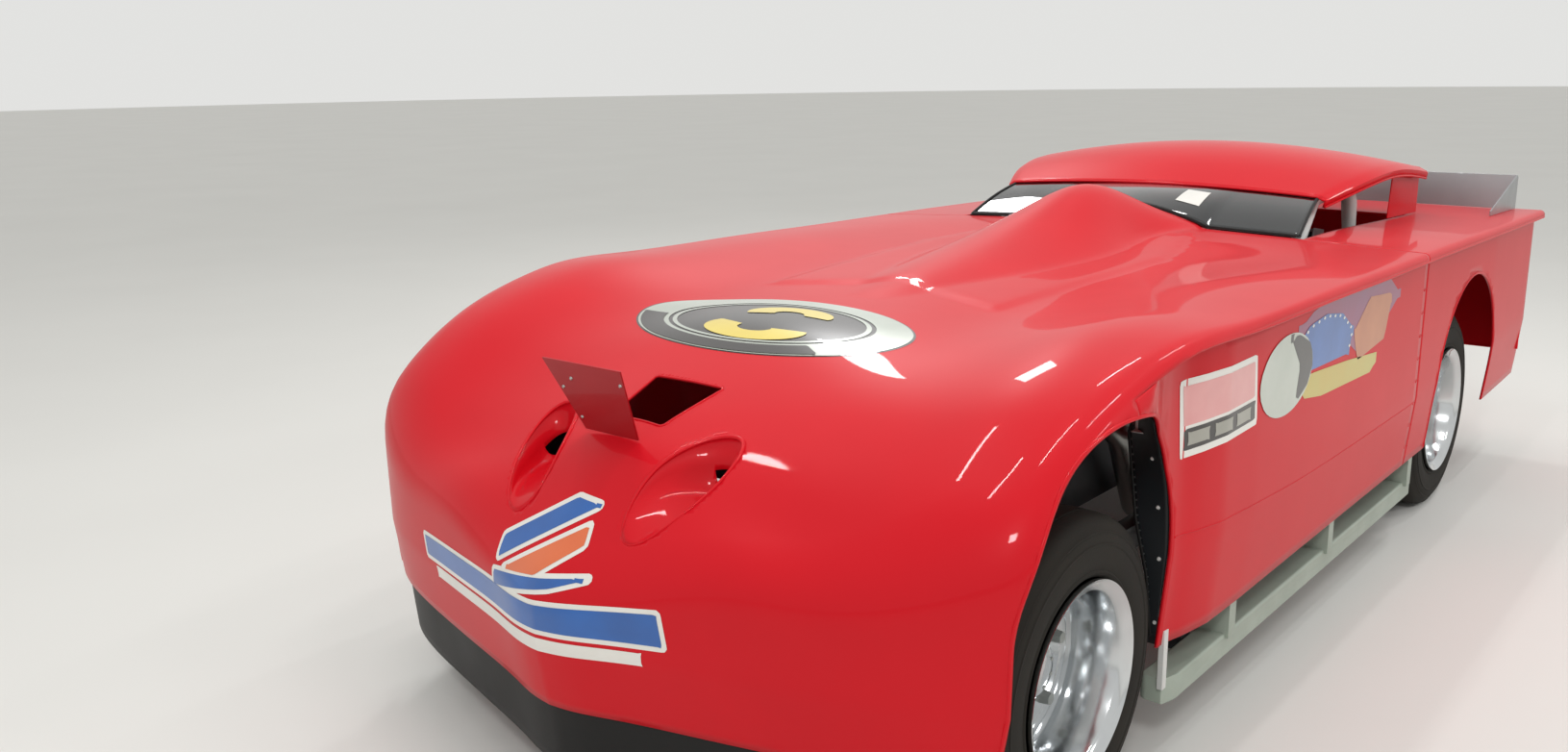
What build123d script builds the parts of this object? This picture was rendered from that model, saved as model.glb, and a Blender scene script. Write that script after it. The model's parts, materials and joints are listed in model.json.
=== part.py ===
from build123d import *
import math
import os

# Wedge-bodied dirt-oval stock car at full size, in millimetres.
# X points to the car's left, Y to its tail and Z up. The origin lies on the ground under the
# middle of the body. Stations along the body are measured rearwards from the front axle.

# Wheels and axles
wheelbase = 2640
front_overhang = 670
rear_overhang = 920
tyre_radius = 340
front_tyre_width = 277
rear_tyre_width = 330
front_rim_width = 254
rear_rim_width = 330
tyre_wall = 14
tyre_sides = 52
tyre_setback = 6
rim_radius = 213
rim_wall = 7
rim_seat_drop = 20
wheel_face_x = 868
wheel_dish = 140
wheel_disc = 10
hub_radius = 58
hub_depth = 96
hub_stand = 28
hub_end_gap = 6
bead_setback = 16
spindle_radius = 26
shaft_clearance = 0.3
brake_disc_radius = 148
brake_disc_thickness = 22
brake_disc_gap = 26
kingpin_x = 560
axle_tube_radius = 40

# Body shell
wall = 8
sill_height = 300
knee_height = 520
sill_tuck = 0.072
knee_tuck = 0.038
seam = 0.5
lip_drop = 30
panel_foot_x = 905
panel_plane_x = 925
side_region_x = 700
arch_station = -18
arch_radius = 350
arch_centre_height = 549
rear_arch_radius = 385
rear_arch_centre_height = 430
door_front = 150
door_rear = 2020
cab_front = 1880
cab_rear = 2960
cab_half_width = 600

# Nose
dam_depth = 170
dam_thickness = 6
flap_thickness = 4

# Roof and glass
roof_thickness = 9
roof_skirt = 34
glass_thickness = 6
glass_side_gap = 4
glass_taper = 36
sail_thickness = 4
sail_offset = 6

# Spoiler and tail
spoiler_height = 120
spoiler_lean = 25
spoiler_thickness = 4
spoiler_setback = 60
fin_x = 840
fin_length = 360
fin_front_height = 975
fin_setback = 20
tail_panel_setback = 24
tail_panel_thickness = 6
tail_panel_bottom = 400
tail_panel_half_width = 880

# Chassis
rail_tube_width = 50
rail_tube_height = 75
frame_bottom = 170
frame_x = 400
front_frame_x = 300
frame_step = 490
cage_tube = 44
floor_thickness = 4
rocker_x = 850
rocker_width = 70
rocker_height = 60
rocker_bottom = 150
rocker_front = 362
rocker_rear = 2225
rocker_bracket_top = 420

# Clearances
seat_gap = 0.3

# Derived places
glass_base_half_width = cab_half_width - glass_side_gap
glass_top_half_width = glass_base_half_width - glass_taper
overall_length = front_overhang + wheelbase + rear_overhang
front_axle_y = front_overhang - overall_length / 2
rear_axle_y = front_axle_y + wheelbase
frame_top = frame_bottom + rail_tube_height
rocker_top = rocker_bottom + rocker_height


def at(station):
    """The Y place of a station measured rearwards from the front axle."""
    return front_axle_y + station


# Sections of the shell: station, half width at the shoulder, height of the shoulder,
# rise of the middle above the shoulder, radius of the shoulder
STATIONS = [
    (-670, 50, 420, 30, 20),
    (-610, 225, 550, 75, 70),
    (-530, 505, 615, 105, 110),
    (-470, 715, 680, 95, 130),
    (-412, 848, 750, 55, 150),
    (-340, 930, 835, 4, 150),
    (-190, 950, 915, -40, 130),
    (20, 955, 975, -38, 95),
    (350, 961, 1000, -34, 35),
    (1050, 962, 992, -14, 25),
    (1900, 962, 980, 36, 22),
    (2700, 960, 965, 20, 20),
    (3560, 945, 945, 10, 20),
]

# How far the side panels stand outside their plane, by station
PANEL_SWAY = [
    (door_front, 5),
    (240, -26),
    (330, -36),
    (450, -4),
    (2900, 0),
    (3560, -14),
]

# Sections of the roof: station, reach past the cab's half width, height of its edge,
# rise of its middle
ROOF = [
    (2140, -25, 1098, 22),
    (2300, 30, 1140, 50),
    (2600, 55, 1165, 70),
    (3060, 40, 1125, 60),
]


def growth(index, column):
    """How fast a column changes along the body, for the wall's true thickness."""
    low = STATIONS[max(index - 1, 0)]
    high = STATIONS[min(index + 1, len(STATIONS) - 1)]
    return (high[column] - low[column]) / (high[0] - low[0])


def shell_section(index, inset, drop):
    """One closed outline of the shell, moved inwards by inset, its sides run down by drop."""
    station, half_width, shoulder, crown, radius = STATIONS[index]
    side_inset = inset * math.hypot(1, growth(index, 1))
    top_inset = inset * math.hypot(1, growth(index, 2))
    knee = sill_height + min(knee_height - sill_height, 0.45 * (shoulder - sill_height))
    knee_x = half_width * (1 - knee_tuck) - side_inset
    tuck = half_width * (sill_tuck - knee_tuck)
    foot = sill_height - drop
    foot_x = knee_x - tuck * (knee - foot) / (knee - sill_height)
    shoulder_x = half_width - side_inset
    top = shoulder - top_inset
    with BuildSketch(Plane.XZ.offset(-at(station))) as sketch:
        with BuildLine():
            Line((-foot_x, foot), (foot_x, foot))
            Line((foot_x, foot), (knee_x, knee))
            Line((knee_x, knee), (shoulder_x, top))
            ThreePointArc((shoulder_x, top), (0, top + crown), (-shoulder_x, top))
            Line((-shoulder_x, top), (-knee_x, knee))
            Line((-knee_x, knee), (-foot_x, foot))
        make_face()
        corners = sketch.vertices().filter_by(lambda v: abs(v.Y - top) < 0.01)
        fillet(corners, max(radius - inset, 6))
    return sketch.sketch


def body_loft(inset, drop, first=0):
    """The space inside the shell's surface moved inwards by inset."""
    with BuildPart() as body:
        for index in range(first, len(STATIONS)):
            add(shell_section(index, inset, drop))
        loft(ruled=True)
    return body.part


def roof_section(row, inset, drop):
    """One closed outline of the roof, moved inwards by inset, its sides run down by drop."""
    station, reach, edge, crown = row
    side = cab_half_width + reach - inset
    top = edge - inset
    with BuildSketch(Plane.XZ.offset(-at(station))) as sketch:
        with BuildLine():
            Line((-side, edge - drop), (side, edge - drop))
            Line((side, edge - drop), (side, top))
            ThreePointArc((side, top), (0, top + crown), (-side, top))
            Line((-side, top), (-side, edge - drop))
        make_face()
    return sketch.sketch


def roof_loft(inset, drop):
    with BuildPart() as space:
        for row in ROOF:
            add(roof_section(row, inset, drop))
        loft(ruled=True)
    return space.part


def block(x_range, station_range, z_range):
    """A box between two X places, two stations and two heights."""
    low = Vector(min(x_range), at(min(station_range)), min(z_range))
    high = Vector(max(x_range), at(max(station_range)), max(z_range))
    size = high - low
    return Pos(*((low + high) / 2)) * Box(size.X, size.Y, size.Z, mode=Mode.PRIVATE)


def tube(points, bend, radius):
    """A round tube along straight runs joined by arcs, its points given as X, station, Z."""
    places = [(x, at(station), z) for x, station, z in points]
    with BuildPart() as piece:
        with BuildLine() as path:
            if len(places) > 2:
                FilletPolyline(*places, radius=bend)
            else:
                Line(*places)
        wire = path.wires()[0]
        with BuildSketch(Plane(wire @ 0, z_dir=wire % 0)):
            Circle(radius)
        sweep(path=wire)
    return piece.part


def keep(piece, name):
    """Label a finished sub-part and write its file."""
    piece.part.label = name
    export_step(piece.part, f"parts/{name}.step")


def keep_pair(piece, name):
    """Write a left sub-part and its mirrored right one."""
    keep(piece, f"{name}_left")
    with BuildPart() as other:
        mirror(piece.part, about=Plane.YZ)
    keep(other, f"{name}_right")


os.makedirs("parts", exist_ok=True)

# The shell as one skin, with the wheel arches cut through its sides
outer_space = body_loft(0, 0)
inner_space = body_loft(wall, 60, 1)
seated_space = body_loft(wall + seat_gap, 60, 1)
cowl_space = body_loft(-seat_gap, 0)
side_reach = 1200
tail = wheelbase + rear_overhang


def side_space(inset):
    """The space inside the left side panels' outer face moved inwards by inset."""
    with BuildPart() as space:
        for station, sway in PANEL_SWAY:
            foot_x = panel_foot_x + sway - inset
            face_x = panel_plane_x + sway - inset
            with BuildSketch(Plane.XZ.offset(-at(station))):
                with BuildLine():
                    Polyline(
                        (rocker_x / 2, rocker_bottom),
                        (foot_x, rocker_bottom),
                        (foot_x, sill_height),
                        (face_x, knee_height),
                        (face_x, side_reach),
                        (rocker_x / 2, side_reach),
                        close=True,
                    )
                make_face()
        loft(ruled=True)
    return space.part


def lip_outline(first):
    """Side view of the line of the lip, from a station to the tail."""
    rows = [row for row in STATIONS if row[0] > first]
    low = STATIONS[len(STATIONS) - len(rows) - 1]
    share = (first - low[0]) / (rows[0][0] - low[0])
    start = low[2] + share * (rows[0][2] - low[2])
    points = [(first, start)] + [(row[0], row[2]) for row in rows]
    return [(at(station), height - lip_drop) for station, height in points]


def under_lip(first):
    """Everything at the left side that lies under the lip behind a station."""
    with BuildPart() as space:
        with BuildSketch(Plane.YZ.offset(side_region_x)):
            with BuildLine():
                Polyline(
                    (at(first), 0),
                    *lip_outline(first),
                    (at(tail), 0),
                    close=True,
                )
            make_face()
        extrude(amount=side_reach - side_region_x)
    return space.part


def arch_cut(station, radius, centre_height):
    """The hole of one wheel arch, round at its top and straight down to the sill."""
    with BuildPart() as hole:
        with BuildSketch(Plane.YZ.offset(side_region_x)):
            with Locations((at(station), centre_height)):
                Circle(radius)
            with Locations((at(station), centre_height / 2)):
                Rectangle(2 * radius, centre_height)
        extrude(amount=500)
    return hole.part


with BuildPart() as skin:
    add(outer_space)
    add(inner_space, mode=Mode.SUBTRACT)
    for centre, radius, height in (
        (arch_station, arch_radius, arch_centre_height),
        (wheelbase, rear_arch_radius, rear_arch_centre_height),
    ):
        opening = arch_cut(centre, radius, height)
        add(opening, mode=Mode.SUBTRACT)
        mirror(opening, about=Plane.YZ, mode=Mode.SUBTRACT)

# Bonnet bulge over the carburettor: station, half width, rise above the skin
BULGE = [
    (430, 60, 4),
    (900, 215, 45),
    (1350, 265, 112),
    (1620, 235, 138),
    (1868, 300, 62),
]


def skin_height(station):
    """Height of the shell's middle line at a station."""
    for low, high in zip(STATIONS, STATIONS[1:]):
        if low[0] <= station <= high[0]:
            share = (station - low[0]) / (high[0] - low[0])
            return low[2] + low[3] + share * (high[2] + high[3] - low[2] - low[3])
    raise ValueError("station outside the body")


def bulge_loft(inset, drop):
    """The raised middle of the bonnet, its foot sunk under the skin by drop."""
    with BuildPart() as hump:
        for station, half_width, rise in BULGE:
            foot = skin_height(station) - drop
            with BuildSketch(Plane.XZ.offset(-at(station))):
                with BuildLine():
                    Line((-half_width - 40 + inset, foot), (half_width + 40 - inset, foot))
                    Line((half_width + 40 - inset, foot), (half_width - inset, foot + drop - 2))
                    ThreePointArc(
                        (half_width - inset, foot + drop - 2),
                        (0, foot + drop + rise - inset),
                        (inset - half_width, foot + drop - 2),
                    )
                    Line((inset - half_width, foot + drop - 2), (-half_width - 40 + inset, foot))
                make_face()
        loft(ruled=True)
    return hump.part


bulge = bulge_loft(0, 12)
bulge_hollow = bulge_loft(wall, 60)

# Nose opening and the two scooped ducts beside it
OPENING = [(-345, 72), (-180, 98)]
with BuildPart() as opening_cut:
    with BuildSketch(Plane.XY.offset(600)):
        with BuildLine():
            Polyline(
                (-OPENING[0][1], at(OPENING[0][0])),
                (OPENING[0][1], at(OPENING[0][0])),
                (OPENING[1][1], at(OPENING[1][0])),
                (-OPENING[1][1], at(OPENING[1][0])),
                close=True,
            )
        make_face()
    extrude(amount=600)

duct_half_length = 152
duct_half_width = 70
duct_centre = (208, -435, 766)
duct_yaw = 25
duct_pitch = -26


def duct_bowl(inset):
    """One long bowl, an ellipsoid made by turning a half ellipse round its long axis."""
    with BuildPart() as bowl:
        with BuildSketch(Plane.XY):
            Ellipse(duct_half_length - inset, duct_half_width - inset)
            with Locations((0, -duct_half_length)):
                Rectangle(3 * duct_half_length, 2 * duct_half_length, mode=Mode.SUBTRACT)
        revolve(axis=Axis.X)
    x, station, z = duct_centre
    place = Location((x, at(station), z)) * Rotation(duct_pitch, 0, -duct_yaw) * Rotation(0, 0, 90)
    return place * bowl.part


duct_outside = duct_bowl(0)
duct_inside = duct_bowl(wall)

# Front clip: nose, wings and bonnet in one piece
with BuildPart() as bowls:
    add(duct_outside)
    mirror(duct_outside, about=Plane.YZ)
    add(outer_space, mode=Mode.INTERSECT)
with BuildPart() as front_clip:
    add(skin.part)
    add(bulge)
    add(bulge_hollow, mode=Mode.SUBTRACT)
    add(bowls.part)
    add(duct_inside, mode=Mode.SUBTRACT)
    mirror(duct_inside, about=Plane.YZ, mode=Mode.SUBTRACT)
    add(opening_cut.part, mode=Mode.SUBTRACT)
    add(block((-side_reach, side_reach), (cab_front, tail + 100), (0, 1500)), mode=Mode.SUBTRACT)
    side_opening = under_lip(door_front)
    add(side_opening, mode=Mode.SUBTRACT)
    mirror(side_opening, about=Plane.YZ, mode=Mode.SUBTRACT)
keep(front_clip, "front_clip")

# Side panels set in from the lip, their tops seated under the deck
panel_clearance = side_space(wall + seat_gap)
under_deck_low = 800
with BuildPart() as under_deck:
    add(seated_space)
    add(block((-side_reach, side_reach), (-front_overhang, tail + 100), (0, under_deck_low)))
with BuildPart() as panels:
    add(side_space(0))
    add(side_space(wall), mode=Mode.SUBTRACT)
    add(under_deck.part, mode=Mode.INTERSECT)
    add(arch_cut(arch_station, arch_radius, arch_centre_height), mode=Mode.SUBTRACT)
    add(arch_cut(wheelbase, rear_arch_radius, rear_arch_centre_height), mode=Mode.SUBTRACT)


def side_panel(first, last):
    """The part of the side panels between two stations."""
    with BuildPart() as panel:
        add(panels.part)
        add(
            block((side_region_x, side_reach), (first, last), (sill_height, side_reach)),
            mode=Mode.INTERSECT,
        )
    return panel


keep_pair(side_panel(door_front + seam, door_rear), "door_panel")
keep_pair(side_panel(door_rear + seam, tail), "quarter_panel")

# Rear deck with the opening of the cab
with BuildPart() as rear_deck:
    add(skin.part)
    add(
        block((-side_reach, side_reach), (cab_front + seam, tail), (under_deck_low, 1500)),
        mode=Mode.INTERSECT,
    )
    add(side_opening, mode=Mode.SUBTRACT)
    mirror(side_opening, about=Plane.YZ, mode=Mode.SUBTRACT)
    add(
        block((-cab_half_width, cab_half_width), (cab_front - 10, cab_rear), (0, 1500)),
        mode=Mode.SUBTRACT,
    )
keep(rear_deck, "rear_deck")

# Nose: the lower edge seen from above gives the line of the air dam
nose_edge = [(row[1] * (1 - sill_tuck), at(row[0])) for row in STATIONS[:4]]
with BuildPart() as air_dam:
    with BuildSketch(Plane.XY.offset(sill_height - seat_gap)):
        with BuildLine():
            Polyline(*[(-x, y) for x, y in reversed(nose_edge)], *nose_edge, close=True)
        make_face()
        offset(amount=-1)
        with BuildLine():
            Polyline(
                *[(-x, y + 3 * dam_thickness) for x, y in reversed(nose_edge)],
                *[(x, y + 3 * dam_thickness) for x, y in nose_edge],
                (nose_edge[-1][0], nose_edge[-1][1] + 200),
                (-nose_edge[-1][0], nose_edge[-1][1] + 200),
                close=True,
            )
        make_face(mode=Mode.SUBTRACT)
    extrude(amount=-dam_depth)
keep(air_dam, "air_dam")

# Roof shell with a skirt along its edges
roof_outside = roof_loft(0, roof_skirt)
roof_inside = roof_loft(roof_thickness, roof_skirt + 50)
under_roof_tall = roof_loft(roof_thickness + seat_gap, 500)
with BuildPart() as roof:
    add(roof_outside)
    add(roof_inside, mode=Mode.SUBTRACT)
keep(roof, "roof")

# Raked windscreen, its foot cut to the cowl
glass_foot = (cab_front + seam, 1003)
glass_head = (ROOF[0][0] - 2, ROOF[0][2] + ROOF[0][3] - 6)
with BuildPart() as windshield:
    with BuildSketch(Plane.YZ):
        with BuildLine():
            Polyline(
                (at(glass_foot[0]), glass_foot[1]),
                (at(glass_head[0]), glass_head[1]),
                (at(glass_head[0]), glass_head[1] - glass_thickness),
                (at(glass_foot[0]), glass_foot[1] - glass_thickness),
                close=True,
            )
        make_face()
    extrude(amount=glass_base_half_width, both=True)
    with BuildSketch(Plane.XY.offset(900)):
        with BuildLine():
            Polyline(
                (-glass_base_half_width, at(glass_foot[0])),
                (glass_base_half_width, at(glass_foot[0])),
                (glass_top_half_width, at(glass_head[0])),
                (-glass_top_half_width, at(glass_head[0])),
                close=True,
            )
        make_face()
    extrude(amount=400, mode=Mode.INTERSECT)
keep(windshield, "windshield")

# Sail panels close the sides of the cab behind the door openings
with BuildPart() as sail_panel:
    with BuildSketch(Plane.YZ.offset(cab_half_width + sail_offset)):
        with BuildLine():
            Polyline(
                (at(2690), 900),
                (at(3440), 900),
                (at(3440), 985),
                (at(ROOF[3][0] - 4), 1300),
                (at(2760), 1300),
                close=True,
            )
        make_face()
    extrude(amount=sail_thickness)
    add(under_roof_tall, mode=Mode.INTERSECT)
    add(cowl_space, mode=Mode.SUBTRACT)
keep_pair(sail_panel, "sail_panel")

# Spoiler across the tail with a fin at each end
spoiler_top = STATIONS[-1][2] + 12 + spoiler_height
spoiler_foot = 900
spoiler_y = at(tail - spoiler_setback)
with BuildPart() as spoiler:
    with BuildSketch(Plane.YZ):
        with BuildLine():
            Polyline(
                (spoiler_y, spoiler_foot),
                (spoiler_y + spoiler_lean, spoiler_top),
                (spoiler_y + spoiler_lean + spoiler_thickness, spoiler_top),
                (spoiler_y + spoiler_thickness, spoiler_foot),
                close=True,
            )
        make_face()
    extrude(amount=fin_x, both=True)
    with BuildSketch(Plane.YZ.offset(fin_x)):
        with BuildLine():
            Polyline(
                (spoiler_y - fin_length, spoiler_foot),
                (spoiler_y - fin_length, fin_front_height),
                (spoiler_y + spoiler_lean, spoiler_top),
                (at(tail - fin_setback), spoiler_top - 10),
                (at(tail - fin_setback), spoiler_foot),
                close=True,
            )
        make_face()
    extrude(amount=spoiler_thickness)
    mirror(about=Plane.YZ)
    add(cowl_space, mode=Mode.SUBTRACT)
keep(spoiler, "spoiler")

# Flat panel that closes the tail
with BuildPart() as tail_panel:
    add(
        block(
            (-side_reach, side_reach),
            (tail - tail_panel_setback, tail - tail_panel_setback + tail_panel_thickness),
            (tail_panel_bottom, side_reach),
        )
    )
    add(seated_space, mode=Mode.INTERSECT)
    for side in (1, -1):
        add(
            block(
                (side * tail_panel_half_width, side * side_reach), (tail - 40, tail), (0, 1200)
            ),
            mode=Mode.SUBTRACT,
        )
keep(tail_panel, "tail_panel")


# Wheels: deep dish of polished metal, hub bored for the spindle
def wheel(width, face_x, y):
    """One wheel and brake disc on the car's left; its outer lip is at face_x."""
    back = face_x - width
    disc = face_x - wheel_dish
    lip = rim_radius
    seat = rim_radius - rim_seat_drop
    barrel = rim_radius - 32
    with BuildPart() as piece:
        with BuildSketch(Plane.XZ):
            with BuildLine():
                Polyline(
                    (face_x, lip),
                    (face_x, lip - rim_wall),
                    (face_x - 12, seat - rim_wall),
                    (disc + 26, barrel - rim_wall),
                    (disc, barrel - 40),
                    (disc + 6, hub_radius),
                    (disc + hub_stand, hub_radius),
                    (disc + hub_stand, spindle_radius + shaft_clearance),
                    (disc + hub_stand - hub_depth, spindle_radius + shaft_clearance),
                    (disc + hub_stand - hub_depth, hub_radius),
                    (disc - brake_disc_gap - brake_disc_thickness, hub_radius),
                    (disc - brake_disc_gap - brake_disc_thickness, brake_disc_radius),
                    (disc - brake_disc_gap, brake_disc_radius),
                    (disc - brake_disc_gap, hub_radius),
                    (disc - wheel_disc, hub_radius),
                    (disc - wheel_disc, barrel - rim_wall - 6),
                    (back + 12, seat - rim_wall),
                    (back, lip - rim_wall),
                    (back, lip),
                    (back + rim_wall, lip),
                    (back + 12, seat),
                    (back + 60, seat),
                    (back + 75, barrel),
                    (face_x - 75, barrel),
                    (face_x - 60, seat),
                    (face_x - 12, seat),
                    (face_x - rim_wall, lip),
                    close=True,
                )
            make_face()
        revolve(axis=Axis.X)
    with BuildPart() as placed:
        add(Pos(0, y, tyre_radius) * piece.part)
    return placed


def polygon_loft(rows, y):
    """A faceted round body from rows of X and radius, each a polygon outside that radius."""
    with BuildPart() as body:
        for x, radius in rows:
            with BuildSketch(Plane.YZ.offset(x)):
                with Locations((y, tyre_radius)):
                    RegularPolygon(radius, tyre_sides)
        loft(ruled=True)
    return body.part


def tyre(width, rim_width, face_x, y):
    """One tyre on the car's left: tread, bulged sidewalls and beads, hollow inside."""
    outer_x = face_x - tyre_setback
    inner_x = outer_x - width
    bead = (rim_radius - rim_seat_drop + seat_gap) / math.cos(math.pi / tyre_sides)
    bulge_radius = (tyre_radius + rim_radius) / 2 - 6
    shoulder = tyre_radius - 20
    bead_x = face_x - bead_setback
    back_bead_x = face_x - rim_width + bead_setback
    hollow_radius = tyre_radius - 1.5 * tyre_wall
    outside = [
        (bead_x, rim_radius + 3),
        (outer_x, bulge_radius),
        (outer_x - 8, shoulder),
        (outer_x - 40, tyre_radius),
        (inner_x + 40, tyre_radius),
        (inner_x + 8, shoulder),
        (inner_x, bulge_radius),
        (back_bead_x, rim_radius + 3),
    ]
    inside = [
        (bead_x + 1, bead),
        (bead_x - 22, bead),
        (outer_x - 1.5 * tyre_wall, hollow_radius),
        (inner_x + 1.5 * tyre_wall, hollow_radius),
        (back_bead_x + 22, bead),
        (back_bead_x - 1, bead),
    ]
    with BuildPart() as piece:
        add(polygon_loft(outside, y))
        add(polygon_loft(inside, y), mode=Mode.SUBTRACT)
    return piece


keep_pair(wheel(front_rim_width, wheel_face_x, front_axle_y), "front_wheel")
keep_pair(wheel(rear_rim_width, wheel_face_x, rear_axle_y), "rear_wheel")
keep_pair(tyre(front_tyre_width, front_rim_width, wheel_face_x, front_axle_y), "front_tyre")
keep_pair(tyre(rear_tyre_width, rear_rim_width, wheel_face_x, rear_axle_y), "rear_tyre")

# Steering knuckles: round upright on the kingpin, spindle and steering arm
kingpin_radius = 22
kingpin_bottom = 222
kingpin_top = 452
hub_end_x = wheel_face_x - wheel_dish + hub_stand - hub_depth
spindle_end_x = wheel_face_x - wheel_dish + hub_stand / 2
with BuildPart() as knuckle:
    with BuildSketch(Plane.XY.offset(kingpin_bottom)):
        with Locations((kingpin_x, front_axle_y)):
            Circle(kingpin_radius)
    extrude(amount=kingpin_top - kingpin_bottom)
    with BuildSketch(Plane.YZ.offset(kingpin_x)):
        with Locations((front_axle_y, tyre_radius)):
            Circle(spindle_radius + 14)
    extrude(amount=hub_end_x - hub_end_gap - kingpin_x)
    with BuildSketch(Plane.YZ.offset(kingpin_x)):
        with Locations((front_axle_y, tyre_radius)):
            Circle(spindle_radius)
    extrude(amount=spindle_end_x - kingpin_x)
    add(block((kingpin_x - 14, kingpin_x + 14), (20, 140), (262, 282)))
keep_pair(knuckle, "knuckle")

# Places of the coil-overs: front and rear heads, and the station behind the rear axle
coil_x = 430
coil_head_z = 600
rear_coil_x = 476
rear_coil_head_z = 700
coil_station = wheelbase + 112
axle_plate_z = 330


# Frame: main rails, kicked up over the rear axle, narrower in front of the engine
def rail(x, outline):
    """One side rail cut from a side view outline of stations and heights."""
    with BuildPart() as piece:
        with BuildSketch(Plane.YZ.offset(x - rail_tube_width / 2)):
            with BuildLine():
                Polyline(*[(at(station), z) for station, z in outline], close=True)
            make_face()
        extrude(amount=rail_tube_width)
    return piece.part


tail_rail_top = 390
main_rail = rail(
    frame_x,
    [
        (frame_step - 40, frame_bottom),
        (2340, frame_bottom),
        (2500, 500),
        (2900, 500),
        (3060, 330),
        (3480, 330),
        (3480, tail_rail_top),
        (3090, tail_rail_top),
        (2930, 560),
        (2470, 560),
        (2310, frame_top),
        (frame_step - 40, frame_top),
    ],
)
front_rail = rail(
    front_frame_x,
    [
        (-440, frame_bottom),
        (frame_step + 40, frame_bottom),
        (frame_step + 40, frame_top),
        (-440, frame_top),
    ],
)
arm_spread = 125
tower_posts = [
    block((front_frame_x - 25, front_frame_x + 25), (station - 20, station + 20), (frame_top, 640))
    for station in (-arm_spread, arm_spread)
]
tower_top = block(
    (front_frame_x - 25, front_frame_x + 25), (-arm_spread, arm_spread), (coil_head_z, 640)
)
tower_arm = block((front_frame_x, 478), (-30, 30), (coil_head_z, 640))
rear_post = block((frame_x - 25, frame_x + 15), (coil_station - 20, coil_station + 20), (560, 740))
rear_post_arm = block((frame_x, 520), (coil_station - 20, coil_station + 20), (rear_coil_head_z, 740))
outriggers = [
    block((frame_x, rocker_x - rocker_width / 2), (station - 25, station + 25), (175, 225))
    for station in (620, 1300, 2080)
]
cross_members = [
    block((-front_frame_x, front_frame_x), (-440, -390), (frame_bottom, frame_top)),
    block((-front_frame_x, front_frame_x), (-215, -165), (frame_bottom, frame_top)),
    block((-frame_x - 25, frame_x + 25), (frame_step - 40, frame_step + 40), (frame_bottom, frame_top)),
    block((-front_frame_x, front_frame_x), (-25, 25), (590, 640)),
    block((-frame_x, frame_x), (2080, 2130), (frame_bottom, frame_top)),
    block((-frame_x, frame_x), (3430, 3480), (330, tail_rail_top)),
    block((-frame_x, frame_x), (3120, 3170), (330, tail_rail_top)),
]
with BuildPart() as frame:
    side_pieces = [main_rail, front_rail, *tower_posts, tower_top, tower_arm]
    for piece in (*side_pieces, rear_post, rear_post_arm, *outriggers):
        add(piece)
        mirror(piece, about=Plane.YZ)
    for piece in cross_members:
        add(piece)
keep(frame, "frame")

# Rockers: flat rails under the sills, with a bracket up to each panel
rocker_outer = rocker_x + rocker_width / 2
with BuildPart() as rocker:
    add(
        block(
            (rocker_x - rocker_width / 2, rocker_outer),
            (rocker_front, rocker_rear),
            (rocker_bottom, rocker_top),
        )
    )
    fillet(rocker.edges().filter_by(Axis.Z), 20)
    fillet(rocker.edges().filter_by(Axis.Y), 6)
    for station in (700, 1400, 2150):
        add(
            block(
                (rocker_x - 30, rocker_x + 75),
                (station - 20, station + 20),
                (rocker_top - 10, rocker_bracket_top),
            )
        )
    add(panel_clearance, mode=Mode.INTERSECT)
keep_pair(rocker, "rocker")

# Front suspension: two arms and a coil-over on each side
lower_pivot_z = 207
upper_pivot_z = 470
lower_joint_z = 244
upper_joint_z = 430
spring_seat_z = 240
arm_radius = 14
arm_tip = 24
ball_joint_gap = 0.3
arm_root_x = front_frame_x + rail_tube_width / 2 + seat_gap


def arm(height, joint_height):
    """An A-shaped arm from the frame to a round socket about the kingpin."""
    with BuildPart() as piece:
        for side in (-1, 1):
            root = (arm_root_x - 10, side * arm_spread, height)
            add(tube([root, (kingpin_x - 24, side * 12, joint_height)], 0, arm_radius))
        add(
            block(
                (kingpin_x - 60, kingpin_x),
                (-26, 26),
                (joint_height - arm_tip / 2, joint_height + arm_tip / 2),
            )
        )
        add(block((0, arm_root_x), (-200, 200), (0, 900)), mode=Mode.SUBTRACT)
        with BuildSketch(Plane.XY):
            with Locations((kingpin_x, front_axle_y)):
                Circle(kingpin_radius + ball_joint_gap)
        extrude(amount=900, mode=Mode.SUBTRACT)
    return piece.part


with BuildPart() as front_arms:
    add(arm(lower_pivot_z, lower_joint_z))
    add(
        block(
            (coil_x - 30, coil_x + 30),
            (-arm_spread / 2 - 10, arm_spread / 2 + 10),
            (spring_seat_z - 14, spring_seat_z),
        )
    )
    add(arm(upper_pivot_z, upper_joint_z))
    mirror(about=Plane.YZ)
keep(front_arms, "front_arms")


# Coil-overs: damper inside a spring drawn as its outer sleeve, front and rear
def coil_over(x, station, foot, head):
    """An upright damper with its spring between two heights."""
    with BuildPart() as piece:
        with BuildSketch(Plane.XY.offset(foot + seat_gap)):
            with Locations((x, at(station))):
                Circle(20)
        extrude(amount=head - foot - 2 * seat_gap)
        with BuildSketch(Plane.XY.offset(foot + 0.3 * (head - foot))):
            with Locations((x, at(station))):
                Circle(43)
        extrude(amount=0.6 * (head - foot))
    return piece.part


with BuildPart() as coil_overs:
    for piece in (
        coil_over(coil_x, 0, spring_seat_z, coil_head_z),
        coil_over(rear_coil_x, coil_station, axle_plate_z, rear_coil_head_z),
    ):
        add(piece)
        mirror(piece, about=Plane.YZ)
keep(coil_overs, "coil_overs")

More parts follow.
